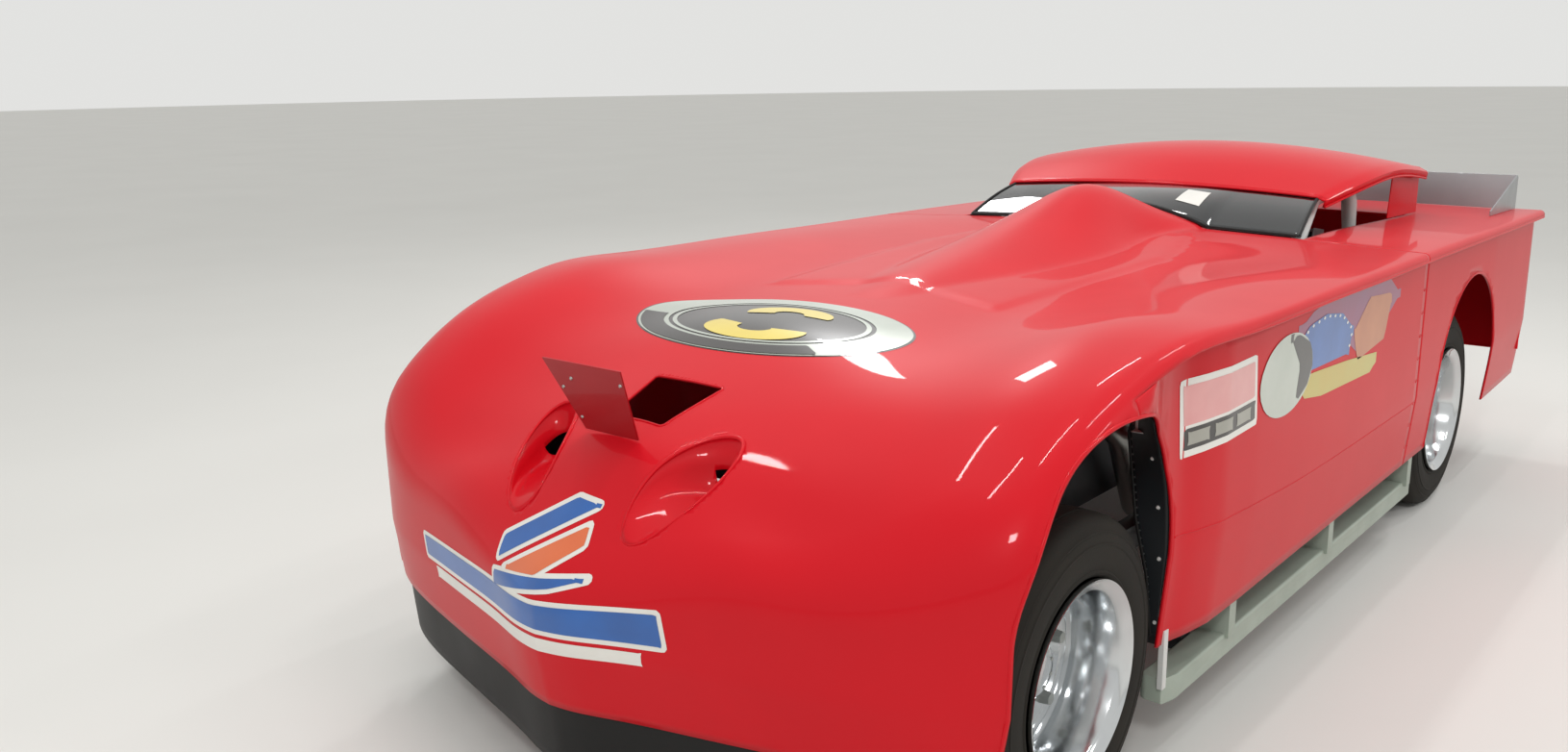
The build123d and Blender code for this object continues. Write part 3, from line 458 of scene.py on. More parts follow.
def cut_along(bm, field, within, snap=0.3):
    """Adds edges where field(place) is zero, sliding near corners onto that line first."""
    value = {v: field(v.co) for v in bm.verts if within(v.co)}
    on_line = {v for v, amount in value.items() if abs(amount) < 1e-6}
    crossing = []
    for edge in bm.edges:
        first, second = edge.verts
        if first in value and second in value and value[first] * value[second] < 0:
            share = value[first] / (value[first] - value[second])
            crossing.append((min(share, 1 - share), len(crossing), edge, share))
    crossing.sort(key=lambda entry: entry[:2])
    for nearness, _, edge, share in crossing:
        first, second = edge.verts
        if first in on_line or second in on_line:
            continue
        place = first.co.lerp(second.co, share)
        if nearness < snap:
            near = first if share < 0.5 else second
            near.co = place
            on_line.add(near)
        else:
            on_line.add(bmesh.utils.edge_split(edge, first, share)[1])
    for face in {face for v in on_line for face in v.link_faces}:
        ends = [v for v in face.verts if v in on_line]
        if len(ends) == 2 and not any(e.other_vert(ends[0]) == ends[1] for e in ends[0].link_edges):
            bmesh.utils.face_split(face, ends[0], ends[1])


def drop_faces(bm, inside):
    """Deletes the faces whose middle is inside."""
    gone = [f for f in bm.faces if inside(f.calc_center_median())]
    bmesh.ops.delete(bm, geom=gone, context="FACES")


# Shader helpers
def hexed(code):
    """Linear colour of a colour written as six hexadecimal digits."""
    parts = [int(code[i : i + 2], 16) / 255 for i in (0, 2, 4)]
    return tuple(c / 12.92 if c <= 0.04045 else ((c + 0.055) / 1.055) ** 2.4 for c in parts) + (1.0,)


def add_node(tree, kind, given=None, **settings):
    """A node whose inputs, by name or number, are given a value or another node's output."""
    node = tree.nodes.new(kind)
    for label, value in settings.items():
        setattr(node, label, value)
    for label, value in (given or {}).items():
        if isinstance(value, bpy.types.NodeSocket):
            tree.links.new(value, node.inputs[label])
        else:
            node.inputs[label].default_value = value
    return node


def new_tree(name, kind, inputs, outputs):
    """A node group with named inputs, each with its kind and first value, and named outputs."""
    tree = bpy.data.node_groups.new(name, kind)
    for label, sort, value in inputs:
        socket = tree.interface.new_socket(label, in_out="INPUT", socket_type="NodeSocket" + sort)
        if value is not None:
            socket.default_value = value
    for label, sort in outputs:
        tree.interface.new_socket(label, in_out="OUTPUT", socket_type="NodeSocket" + sort)
    return tree, tree.nodes.new("NodeGroupInput").outputs


def surface_group():
    """Uneven colour, roughness and fine relief that every finish shares."""
    tree, given = new_tree(
        "finish_variation",
        "ShaderNodeTree",
        [
            ("Colour", "Color", (0.5, 0.5, 0.5, 1)), ("Shade", "Color", (0.4, 0.4, 0.4, 1)),
            ("Scale", "Float", 6.0), ("Roughness", "Float", 0.4), ("Roughness Range", "Float", 0.1),
            ("Grain Scale", "Float", 200.0),
        ],
        [("Colour", "Color"), ("Roughness", "Float"), ("Grain", "Float")],
    )
    where = add_node(tree, "ShaderNodeTexCoord").outputs["Object"]
    clouds = {"Vector": where, "Scale": given["Scale"], "Detail": 4}
    cloud = add_node(tree, "ShaderNodeTexNoise", clouds).outputs["Fac"]
    grains = {"Vector": where, "Scale": given["Grain Scale"]}
    grain = add_node(tree, "ShaderNodeTexNoise", grains).outputs["Fac"]
    colours = {"Factor": cloud, "A": given["Colour"], "B": given["Shade"]}
    blend = add_node(tree, "ShaderNodeMix", colours, data_type="RGBA").outputs["Result"]
    centred = add_node(tree, "ShaderNodeMath", {0: cloud, 1: 0.5}, operation="SUBTRACT").outputs[0]
    spread = {0: centred, 1: given["Roughness Range"], 2: given["Roughness"]}
    rough = add_node(tree, "ShaderNodeMath", spread, operation="MULTIPLY_ADD").outputs[0]
    add_node(tree, "NodeGroupOutput", {"Colour": blend, "Roughness": rough, "Grain": grain})
    return tree


variation = surface_group()


def finish(
    name, colour, shade, roughness, roughness_range, scale=6.0, metallic=0.0, coat=0.0, grain_scale=200.0,
    grain=0.0, alpha=1.0, specular=0.5,
):
    """A material whose colour and roughness vary a little over its surface."""
    material = bpy.data.materials.new(name)
    material.use_nodes = True
    tree = material.node_tree
    values = {
        "Scale": scale, "Colour": hexed(colour), "Shade": hexed(shade), "Roughness": roughness,
        "Roughness Range": roughness_range, "Grain Scale": grain_scale,
    }
    source = tree.nodes.new("ShaderNodeGroup")
    source.node_tree = variation
    for label, value in values.items():
        source.inputs[label].default_value = value
    shader = tree.nodes["Principled BSDF"]
    tree.links.new(source.outputs["Colour"], shader.inputs["Base Color"])
    tree.links.new(source.outputs["Roughness"], shader.inputs["Roughness"])
    values = {"Metallic": metallic, "Coat Weight": coat, "Alpha": alpha, "Specular IOR Level": specular}
    for label, value in values.items():
        shader.inputs[label].default_value = value
    if grain:
        relief = {"Strength": grain, "Distance": 0.001, "Height": source.outputs["Grain"]}
        bump = add_node(tree, "ShaderNodeBump", relief)
        tree.links.new(bump.outputs["Normal"], shader.inputs["Normal"])
    return material


# Finishes: slot, colour, shade, roughness, its range, and what else differs
FINISHES = {
    "red_paint": ("body_paint", "D2101F", "C40C1B", 0.40, 0.05, dict(scale=3.0, coat=0.28, specular=0.08)),
    # The flap's finish is the body's red made darker: painted shade for the flap standing in shadow
    "flap_painted_shade": ("body_paint", "A80A16", "960812", 0.42, 0.06, dict(scale=9.0, coat=0.2, specular=0.25)),
    "black_plastic": ("black_plastic", "121212", "1C1B1A", 0.5, 0.15, dict(grain=0.15, specular=0.25)),
    "dark_glass": ("glass", "0A0D0F", "11161A", 0.05, 0.02, dict(coat=1.0, alpha=0.86)),
    "polished_rim": ("polished_rim", "D9DBDC", "C4C7C9", 0.14, 0.08, dict(scale=14, metallic=1.0)),
    "tyre_rubber": ("tyre_rubber", "1A1918", "302C26", 0.78, 0.2, dict(scale=7, grain=0.4, specular=0.2)),
    "cast_steel": ("cast_steel", "5A5C5E", "46484A", 0.48, 0.2, dict(metallic=0.8, grain=0.3)),
    "frame_paint": ("frame_paint", "2A2C2F", "222427", 0.38, 0.1, dict(coat=0.3)),
    "rocker_plastic": ("rocker_plastic", "A9B3A6", "949E92", 0.42, 0.15, dict(scale=9, grain=0.1)),
    "plated_steel": ("plated_steel", "B4B6B4", "9FA19C", 0.3, 0.15, dict(metallic=1.0)),
    "engine_metal": ("engine_metal", "5D6063", "4A4C4F", 0.5, 0.15, dict(metallic=0.7, grain=0.3)),
    "cast_aluminium": ("cast_aluminium", "A9ABAD", "95979A", 0.42, 0.12, dict(metallic=0.9, grain=0.3)),
    "cage_paint": ("cage_paint", "D8D9D6", "C9CAC7", 0.35, 0.08, dict(coat=0.4)),
    "sheet_aluminium": ("sheet_aluminium", "B9BCBE", "A6A9AB", 0.34, 0.15, dict(scale=12, metallic=0.9)),
    "liner_sheet": ("black_plastic", "16191C", "1F2326", 0.5, 0.15, dict(grain=0.1)),
    "spring_paint": ("cage_paint", "C9A227", "B8921F", 0.4, 0.1, dict(coat=0.3)),
    "pad_fabric": ("pad_fabric", "1A1B1E", "232529", 0.85, 0.1, dict(scale=30, grain_scale=900, grain=0.6)),
    "silver_sheet": ("body_paint", "A9B3A4", "D2D6CE", 0.25, 0.1, dict(scale=5, metallic=0.35, coat=0.6)),
    "black_sheet": ("body_paint", "17120F", "241A17", 0.3, 0.08, dict(scale=9, coat=0.6)),
    "yellow_sheet": ("body_paint", "E9D45A", "D9BE42", 0.3, 0.06, dict(scale=14, coat=0.6)),
    "white_sheet": ("body_paint", "E8E6E0", "DDDAD2", 0.3, 0.06, dict(scale=14, coat=0.6)),
    "pink_sheet": ("body_paint", "E3A7A4", "D88F8E", 0.3, 0.08, dict(scale=12, coat=0.6)),
    "grey_sheet": ("body_paint", "A8A69B", "8E8D83", 0.35, 0.08, dict(scale=12, coat=0.5)),
    "blue_sheet": ("body_paint", "0F63B8", "1A4F94", 0.3, 0.08, dict(scale=12, coat=0.6)),
    "orange_sheet": ("body_paint", "E0703C", "D4602E", 0.3, 0.08, dict(scale=12, coat=0.6)),
    "purple_sheet": ("body_paint", "7A1763", "93104A", 0.3, 0.08, dict(scale=7, coat=0.6)),
    "amber_sheet": ("body_paint", "C8701E", "A8501A", 0.3, 0.08, dict(scale=9, coat=0.6)),
    "lime_sheet": ("body_paint", "B9B23C", "C9A52C", 0.3, 0.08, dict(scale=9, coat=0.6)),
}
finishes = {name: finish(name, *values, **more) for name, (_, *values, more) in FINISHES.items()}
# The plain solids take the finish of their slot, and the spoiler is bare sheet
slot_finishes = {"clear_sheet": "sheet_aluminium"}
for name, (slot, *_) in FINISHES.items():
    slot_finishes.setdefault(slot, name)
node_slots = {part["node"]: part["material_slot"] for part in frame["record"]["subparts"]}
for node, slot in node_slots.items():
    nodes[node].data.materials.clear()
    nodes[node].data.materials.append(finishes[slot_finishes[slot]])

# The nose opening and the two scooped ducts beside it
OPENING = [(0.076, -0.362), (0.102, -0.195)]
duct_centre = (0.208, -0.440)
duct_half_length = 0.128
duct_half_width = 0.062
duct_yaw = math.radians(25)
duct_depth = 0.098
duct_slot = 0.66


def opening_inside(place):
    """Whether a place lies in the nose opening."""
    station = station_of(place)
    (front_x, front), (rear_x, rear) = OPENING
    edge = front_x + (rear_x - front_x) * (station - front) / (rear - front)
    return place.z > 0.6 and front < station < rear and abs(place.x) < edge


def duct_along(place):
    """Place along the duct's long axis seen from above, -1 at its front and 1 at its rear."""
    dx = abs(place.x) - duct_centre[0]
    ds = station_of(place) - duct_centre[1]
    return (ds * math.cos(duct_yaw) + dx * math.sin(duct_yaw)) / duct_half_length


def duct_share(place):
    """Place in the duct's own plan: 1 on its rim, less inside. Works for either duct."""
    dx = abs(place.x) - duct_centre[0]
    ds = station_of(place) - duct_centre[1]
    across = dx * math.cos(duct_yaw) - ds * math.sin(duct_yaw)
    return math.hypot(duct_along(place), across / duct_half_width)


def duct_place(along, across):
    """Half width and station of a place in the duct's plan."""
    along *= duct_half_length
    across *= duct_half_width
    return (
        duct_centre[0] + across * math.cos(duct_yaw) + along * math.sin(duct_yaw),
        duct_centre[1] - across * math.sin(duct_yaw) + along * math.cos(duct_yaw),
    )


def arch_field(place, station, radius, height):
    """Distance to an arch's outline, round above its centre and straight below, negative inside."""
    gap = station_of(place) - station
    if place.z > height:
        return math.hypot(gap, place.z - height) - radius
    return abs(gap) - radius


# Limits that keep each cut to its own part of the skin
side_limit = 0.8
top_limit = 0.9


def cut_arches(bm):
    """The openings over the wheels."""
    for arch in ARCHES:
        near = lambda p: abs(station_of(p) - arch[0]) < 0.5 and abs(p.x) > 0.7
        cut_along(bm, lambda p: arch_field(p, *arch), near)
        drop_faces(bm, lambda p: near(p) and arch_field(p, *arch) < 0)


def cut_nose(bm):
    """The two ducts and the opening between them."""
    on_front = lambda p: p.z > 0.55 and abs(p.x) < 0.45 and station_of(p) < 0.0
    cut_along(bm, lambda p: duct_share(p) - 1, lambda p: on_front(p) and duct_share(p) < 1.6)
    drop_faces(bm, lambda p: on_front(p) and duct_share(p) < 1)
    (front_x, front), (rear_x, rear) = OPENING
    lean = (rear_x - front_x) / (rear - front)
    by_opening = lambda p: on_front(p) and abs(p.x) < 0.17 and front - 0.058 < station_of(p) < rear + 0.055
    for edge in (front, rear):
        cut_along(bm, lambda p: station_of(p) - edge, by_opening)
    for side in (1, -1):
        cut_along(bm, lambda p: side * p.x - front_x - lean * (station_of(p) - front), by_opening)
    drop_faces(bm, opening_inside)


def cut_cab(bm):
    """The cockpit's opening, with the seam across the body at each of its ends."""
    beside = lambda p: cab_front - 0.06 < station_of(p) < cab_rear + 0.06 and abs(p.x) < 0.7
    for side in (1, -1):
        cut_along(bm, lambda p: side * p.x - cab_half_width, lambda p: p.z > top_limit and beside(p))
    for edge in (cab_front, cab_rear):
        cut_along(bm, lambda p: station_of(p) - edge, lambda p: p.z > lip_line(station_of(p)) - 0.03)
    inside = lambda p: cab_front < station_of(p) < cab_rear and abs(p.x) < cab_half_width
    drop_faces(bm, lambda p: p.z > top_limit and inside(p))


def cut_side_panels(bm):
    """The lip's line and the seams at the door's ends."""
    above_lip = lambda p: p.z - lip_line(station_of(p))
    cut_along(bm, above_lip, lambda p: abs(p.x) > side_limit and station_of(p) > door_front - 0.05)
    on_panel = lambda p: abs(p.x) > side_limit and above_lip(p) < 0.002
    for edge in (door_front, door_rear):
        cut_along(bm, lambda p: station_of(p) - edge, on_panel)


def cut_raised_panel(bm):
    """Edges along the foot of the bonnet's raised panel, so that its step is crisp."""
    for ends in zip(PANEL[1:], PANEL[2:]):
        (x0, x1), (s0, s1) = (sorted(pair) for pair in zip(*ends))
        for side in (1, -1):
            beside = lambda p: s0 - 0.01 < station_of(p) < s1 + 0.01 and x0 - 0.03 < side * p.x < x1 + 0.03
            edge = lambda p: panel_edge(side * p.x, station_of(p), ends)
            cut_along(bm, edge, lambda p: p.z > top_limit and beside(p))


def build_skin():
    """The whole shell as one sheet with its openings cut."""
    places = skin_grid()
    bm = bmesh.new()
    for side in (1, -1):
        rows = [[bm.verts.new(to_world((side * p[0], p[1], p[2]))) for p in row] for row in places]
        grid_faces(bm, rows if side < 0 else rows[::-1])
    bmesh.ops.remove_doubles(bm, verts=bm.verts, dist=1e-5)
    cut_arches(bm)
    cut_nose(bm)
    cut_cab(bm)
    cut_side_panels(bm)
    cut_raised_panel(bm)
    return bm


def piece_of(place):
    station = station_of(place)
    side = "left" if place.x > 0 else "right"
    if abs(place.x) > side_limit and place.z < lip_line(station) and station > door_front:
        return ("door_skin_" if station < door_rear else "quarter_skin_") + side
    return "front_skin" if station < cab_front else "deck_skin"


SKIN_NODES = {"front_skin": "front_clip", "deck_skin": "rear_deck"}
for sheet_kind in ("door", "quarter"):
    for hand in ("left", "right"):
        SKIN_NODES[f"{sheet_kind}_skin_{hand}"] = f"{sheet_kind}_panel_{hand}"


def skin_pieces(whole):
    """One piece for each sheet of the body, with the side panels set back behind the lip."""
    whole.faces.index_update()
    belongs = {face.index: piece_of(face.calc_center_median()) for face in whole.faces}
    for name, node in SKIN_NODES.items():
        bm = whole.copy()
        bm.faces.ensure_lookup_table()
        gone = [f for f in bm.faces if belongs[f.index] != name]
        bmesh.ops.delete(bm, geom=gone, context="FACES")
        if name.startswith(("door", "quarter")):
            for v in bm.verts:
                station = station_of(v.co)
                flat = float(panel_x(station, v.co.z))
                behind = max(abs(v.co.x) - flat, 0)
                if v.co.z > lip_line(station) - 0.001:
                    v.co.z += min(behind, 0.014) - seam_gap * min(max(station / 0.08, 0), 1)
                if station > 0.001:
                    v.co.x = math.copysign(min(flat, abs(v.co.x)), v.co.x)
        wall = {"wall": skin_thickness, "wall_offset": -1}
        add_piece(name, bm, "red_paint", 32, node=node, recalculate=False, **wall)


whole_skin = build_skin()
skin_tree = BVHTree.FromBMesh(whole_skin)
skin_pieces(whole_skin)
whole_skin.free()


def flank_place(station, z, side=1):
    """The place on the body's side at a station and height."""
    hit = skin_tree.ray_cast(Vector((2, station + front_axle_y, z)), Vector((-1, 0, 0)))[0]
    x = hit.x if hit and hit.x > 0.5 else 0.95
    if station > 0 and z < lip_line(station):
        x = min(x, float(panel_x(station, z)))
    return Vector((side * x, station + front_axle_y, z))


def edge_beads():
    """Rolled beads along the lip and round the wheel arches."""
    lip_steps, growing_steps, foot_height = 150, 12, 0.305
    bm = bmesh.new()
    for side in (1, -1):
        points = []
        for step in range(lip_steps):
            station = 0.03 + (tail_station - 0.035) * step / (lip_steps - 1)
            z = lip_line(station)
            place = skin_tree.ray_cast(Vector((2, station + front_axle_y, z + 0.004)), Vector((-1, 0, 0)))[0]
            points.append((side * (place.x - 0.003), place.y, z + 0.0015))
        radii = [0.001 + 0.0035 * min(1, step / growing_steps) for step in range(lip_steps)]
        tube_along(bm, points, radii, 8)
        for centre, radius, height in ARCHES:
            reach = radius + 0.003
            half_turn = np.linspace(0, math.pi, 90)
            run = [(centre - reach * math.cos(t), height + reach * math.sin(t)) for t in half_turn]
            steps = [height - (height - foot_height) * k / 12 for k in range(12, 0, -1)]
            run = [(centre - reach, z) for z in steps] + run + [(centre + reach, z) for z in reversed(steps)]
            run = [flank_place(station, z, side) - Vector((side * 0.002, 0, 0)) for station, z in run]
            tube_along(bm, run, 0.0042, 8)
    add_piece("edge_beads", bm, "red_paint")


edge_beads()


# Fields that give the outline of a sheet of colour
def polygon_field(points, corner=0.0):
    """Distance to a polygon's outline, negative inside it, its corners rounded."""
    def field(u, v):
        nearest, inside = 1e9, False
        for (u0, v0), (u1, v1) in zip(points, points[1:] + points[:1]):
            du, dv = u1 - u0, v1 - v0
            share = min(max(((u - u0) * du + (v - v0) * dv) / (du * du + dv * dv), 0), 1)
            nearest = min(nearest, math.hypot(u - u0 - share * du, v - v0 - share * dv))
            if (v0 > v) != (v1 > v) and u < u0 + (v - v0) / (v1 - v0) * du:
                inside = not inside
        return (-nearest if inside else nearest) - corner

    return field


def ellipse_field(centre, half, inner=0.0, start=None, end=None):
    """An ellipse, a ring of one, or the arc of a ring between two angles, negative inside."""
    def field(u, v):
        share = math.hypot((u - centre[0]) / half[0], (v - centre[1]) / half[1])
        value = max(share - 1, inner - share) * min(half)
        if start is not None:
            turn = math.atan2((v - centre[1]) / half[1], (u - centre[0]) / half[0]) - start
            turn %= 2 * math.pi
            span = end - start
            outside = max(turn - span, 0) if turn < (span + 2 * math.pi) / 2 else 2 * math.pi - turn
            within = -min(turn, span - turn) if turn < span else outside
            value = max(value, within * share * min(half))
        return value

    return field

def on_bonnet(u, v, side, lift):
    place = skin_tree.ray_cast(Vector((side * u, v + front_axle_y, 2)), Vector((0, 0, -1)))[0]
    return place + Vector((0, 0, lift)) if place else None


def on_nose(u, v, side, lift):
    place = skin_tree.ray_cast(Vector((side * u, cad_low.y - 1, v)), Vector((0, 1, 0)))[0]
    return place - Vector((0, lift, -lift / 3)) if place else None


def on_flank(u, v, side, lift):
    return Vector((side * (float(panel_x(u, v)) + lift), u + front_axle_y, v))


def colour_sheet(name, project, lift, finish_name, cell, shapes):
    """Thin sheets of one colour: each shape is a field with the box that holds it."""
    bm = bmesh.new()
    for field, (u0, v0, u1, v1) in shapes:
        for side in (1, -1) if project is on_flank else (1,):
            part = bmesh.new()
            across = max(2, round((u1 - u0) / cell))
            up = max(2, round((v1 - v0) / cell))
            flat = lambda i, j: (u0 + (u1 - u0) * i / across, v0 + (v1 - v0) * j / up, 0)
            fill_net(part, flat, range(across + 1), range(up + 1))
            cut_along(part, lambda p: field(p.x, p.y), lambda p: True, 0.35)
            drop_faces(part, lambda p: field(p.x, p.y) > 0)
            lost = []
            for vert in part.verts:
                place = project(vert.co.x, vert.co.y, side, lift)
                if place is None:
                    lost.append(vert)
                else:
                    vert.co = place
            bmesh.ops.delete(part, geom=lost, context="VERTS")
            mesh = bpy.data.meshes.new("part")
            part.to_mesh(mesh)
            part.free()
            bm.from_mesh(mesh)
            bpy.data.meshes.remove(mesh)
    for face in bm.faces:
        face.normal_update()
        middle_place = face.calc_center_median()
        if face.normal.dot(Vector((middle_place.x, middle_place.y * 0.3, 0.6))) < 0:
            face.normal_flip()
    add_piece(name, bm, finish_name, recalculate=False)


def box_of(points, margin=0.012):
    us, vs = zip(*points)
    return (min(us) - margin, min(vs) - margin, max(us) + margin, max(vs) + margin)


def plain(points, corner=0.003):
    """A shape with straight edges and rounded corners."""
    return polygon_field(points, corner), box_of(points)


def round_shape(centre, half, inner=0.0, start=None, end=None):
    """An ellipse, ring or arc, with its angles in degrees."""
    angles = [None if a is None else math.radians(a) for a in (start, end)]
    reach = [(centre[0] - half[0], centre[1] - half[1]), (centre[0] + half[0], centre[1] + half[1])]
    return ellipse_field(centre, half, inner, *angles), box_of(reach)


disc_centre = (-0.055, 0.136)
disc_half = (0.400, 0.198)


def disc_shape(outer, inner=0.0, start=None, end=None):
    """A ring or arc of the bonnet's disc, its radii given as shares of the disc's own."""
    half = (disc_half[0] * outer, disc_half[1] * outer)
    return round_shape(disc_centre, half, inner / outer, start, end)


# Outlines on the sides, as station and height
CARD = [(0.352, 0.728), (0.676, 0.738), (0.656, 0.892), (0.334, 0.888)]
CARD_UPPER = [(0.360, 0.795), (0.656, 0.803), (0.648, 0.880), (0.348, 0.876)]
CARD_LOWER = [(0.366, 0.741), (0.664, 0.750), (0.659, 0.789), (0.362, 0.782)]
CARD_MARK = [(0.378, 0.750), (0.446, 0.752), (0.443, 0.776), (0.375, 0.774)]
mark_step = (0.096, 0.002)
marks = [[(u + mark_step[0] * k, v + mark_step[1] * k) for u, v in CARD_MARK] for k in range(3)]
PURPLE = [
    (0.93, 0.905), (1.02, 0.935), (1.25, 0.958), (1.62, 0.944), (1.74, 0.88), (1.56, 0.80), (1.38, 0.78),
    (1.22, 0.86), (1.08, 0.895),
]
AMBER = [(1.40, 0.76), (1.62, 0.78), (1.66, 0.885), (1.47, 0.90), (1.36, 0.83)]
LIME = [(0.98, 0.735), (1.12, 0.715), (1.52, 0.700), (1.58, 0.735), (1.30, 0.760), (1.02, 0.778)]
BLUE = [(0.94, 0.80), (1.31, 0.79), (1.33, 0.845), (1.24, 0.895), (1.12, 0.912), (1.00, 0.902), (0.93, 0.87)]
DISC_SHADE = [
    (0.93, 0.735), (1.00, 0.765), (1.03, 0.81), (1.01, 0.86), (0.93, 0.893), (0.88, 0.895), (0.95, 0.82),
]
dashes = []
for (u0, v0), (u1, v1) in zip(BLUE[1:], BLUE[2:]):
    count = max(2, round(math.hypot(u1 - u0, v1 - v0) / 0.035))
    for share in (np.arange(count) + 0.5) / count:
        dashes.append(round_shape((u0 + (u1 - u0) * share, v0 + (v1 - v0) * share), (0.008, 0.004)))
# Outlines on the nose, as half width and height
UPPER_BAR = [(-0.16, 0.60), (0.00, 0.695), (0.06, 0.690), (-0.16, 0.560)]
MIDDLE_BAR = [(-0.13, 0.545), (0.06, 0.655), (0.07, 0.625), (-0.02, 0.560)]
LOWER_BAR = [(-0.17, 0.530), (0.115, 0.575), (0.03, 0.545), (-0.17, 0.500)]
WORD_BAND = [(-0.55, 0.445), (-0.02, 0.455), (0.285, 0.470), (0.275, 0.535), (-0.02, 0.505), (-0.56, 0.490)]
LOW_BAND = [(-0.50, 0.405), (-0.02, 0.410), (0.235, 0.425), (0.235, 0.446), (-0.02, 0.434), (-0.50, 0.428)]
nose_grounds = [plain(outline, 0.010) for outline in (UPPER_BAR, MIDDLE_BAR, LOWER_BAR, WORD_BAND)]
nose_blues = [plain(UPPER_BAR, 0.001), plain(LOWER_BAR, 0.001), plain(WORD_BAND, 0.0)]
bonnet_arcs = [
    round_shape((-0.035, 0.192), (0.125, 0.060), 0.34, -8, 205),
    round_shape((-0.040, 0.068), (0.150, 0.064), 0.34, 150, 372),
]

# Sheets of colour laid on the skin: name, surface, lift, finish, cell, shapes
COLOUR_SHEETS = [
    ("bonnet_disc", on_bonnet, 0.0006, "black_sheet", 0.008, [disc_shape(1.0)]),
    ("bonnet_ring", on_bonnet, 0.0016, "silver_sheet", 0.008, [disc_shape(0.985, 0.745)]),
    ("bonnet_line", on_bonnet, 0.0016, "silver_sheet", 0.0035, [disc_shape(0.715, 0.680)]),
    ("bonnet_band", on_bonnet, 0.0030, "black_sheet", 0.008, [disc_shape(0.965, 0.785, 188, 312)]),
    ("bonnet_arcs", on_bonnet, 0.0020, "yellow_sheet", 0.008, bonnet_arcs),
    ("door_card", on_flank, 0.0010, "white_sheet", 0.01, [plain(CARD, 0.006)]),
    ("door_card_upper", on_flank, 0.0015, "pink_sheet", 0.01, [plain(CARD_UPPER)]),
    ("door_card_lower", on_flank, 0.0015, "black_sheet", 0.01, [plain(CARD_LOWER)]),
    ("door_card_marks", on_flank, 0.0020, "grey_sheet", 0.01, [plain(mark, 0.002) for mark in marks]),
    ("side_purple", on_flank, 0.0005, "purple_sheet", 0.025, [plain(PURPLE, 0.004)]),
    ("side_amber", on_flank, 0.0009, "amber_sheet", 0.025, [plain(AMBER, 0.01)]),
    ("side_lime", on_flank, 0.0009, "lime_sheet", 0.025, [plain(LIME, 0.006)]),
    ("side_blue", on_flank, 0.0013, "blue_sheet", 0.025, [plain(BLUE, 0.006)]),
    ("side_dashes", on_flank, 0.0017, "white_sheet", 0.004, dashes),
    ("side_disc", on_flank, 0.0017, "silver_sheet", 0.02, [round_shape((0.86, 0.812), (0.172, 0.098))]),
    ("side_disc_shade", on_flank, 0.0021, "black_sheet", 0.02, [plain(DISC_SHADE, 0.004)]),
    ("nose_white", on_nose, 0.0006, "white_sheet", 0.007, nose_grounds + [plain(LOW_BAND)]),
    ("nose_blue", on_nose, 0.0012, "blue_sheet", 0.007, nose_blues),
    ("nose_orange", on_nose, 0.0012, "orange_sheet", 0.007, [plain(MIDDLE_BAR, 0.001)]),
]
for row in COLOUR_SHEETS:
    colour_sheet(*row)


# Roof, glass and air dam. The roof's rows: station, half width, height of its edge, crown
ROOF_ROWS = [
    (2.140, 0.575, 1.098, 0.022),
    (2.300, 0.630, 1.140, 0.050),
    (2.600, 0.655, 1.165, 0.070),
    (3.060, 0.640, 1.125, 0.060),
]
roof_table = np.array(ROOF_ROWS)
roof_curve = natural_spline(roof_table[:, 0], roof_table[:, 1:])
roof_front, roof_rear = roof_table[0, 0], roof_table[-1, 0]
roof_skirt = 0.034
roof_thickness = 0.006
# The sides roll down over the last part of the half width
roll_drop, roll_share = 0.012, 0.04


def roof_place(share, station, lift=0.0):
    """A place on the roof, by its share of the half width and its station."""
    half, edge, crown = roof_curve([station])[0]
    rolled = roll_drop * max(abs(share) - (1 - roll_share), 0) / roll_share
    return (share * half, station + front_axle_y, edge + crown * (1 - share**2) - rolled + lift)


def roof_side(side, station, inset, drop):
    """A place on the roof's skirt."""
    half, edge, _ = roof_curve([station])[0]
    return (side * (half - inset), station + front_axle_y, edge - drop)


def roof_shell():
    """The roof's sheet and the beads round its rim."""
    bm = bmesh.new()
    rows = []
    skirt = ((0.004, roof_skirt), (0.001, 0.020))
    for station in np.linspace(roof_front, roof_rear, 60):
        row = [roof_side(-1, station, *drop) for drop in skirt]
        row += [roof_place(share, station) for share in np.linspace(-1, 1, 61)]
        row += [roof_side(1, station, *drop) for drop in reversed(skirt)]
        rows.append([bm.verts.new(place) for place in row])
    grid_faces(bm, rows)
    add_piece("roof_skin", bm, "red_paint", 50, node="roof", wall=roof_thickness, wall_offset=-1)
    bm = bmesh.new()
    for side in (1, -1):
        along = np.linspace(roof_front + 0.005, roof_rear - 0.005, 40)
        tube_along(bm, [roof_side(side, station, 0.005, roof_skirt) for station in along], bead_radius, 8)
    for station in (roof_front + 0.003, roof_rear - 0.003):
        points = [roof_place(share, station, -0.004) for share in np.linspace(-0.99, 0.99, 50)]
        tube_along(bm, points, 0.0045, 8)
    add_piece("roof_beads", bm, "red_paint")


roof_shell()


# The windscreen: half widths of its foot and head, its inset from the cab and how far it curves
screen_foot_half, screen_head_half = 0.588, 0.552
screen_inset = 0.012
screen_bow, screen_belly = 0.007, 0.010


def screen_place(share, up, lift=0.0):
    """A place on the curved windscreen, by its shares of the half width and of the height."""
    foot_station, head_station = cab_front + screen_inset, roof_front + screen_inset
    x = share * (screen_foot_half + (screen_head_half - screen_foot_half) * up)
    half, edge, crown = roof_curve([head_station])[0]
    base = float(top_height(x, cab_front + 0.004)[0]) + 0.002
    head = edge + crown * (1 - (x / half) ** 2) - screen_inset
    bow = screen_bow * (1 - share**2) * (1 - up)
    station = foot_station + (head_station - foot_station) * up - bow
    z = base + (head - base) * up + screen_belly * math.sin(math.pi * up) + lift
    return Vector((x, station + front_axle_y, z))


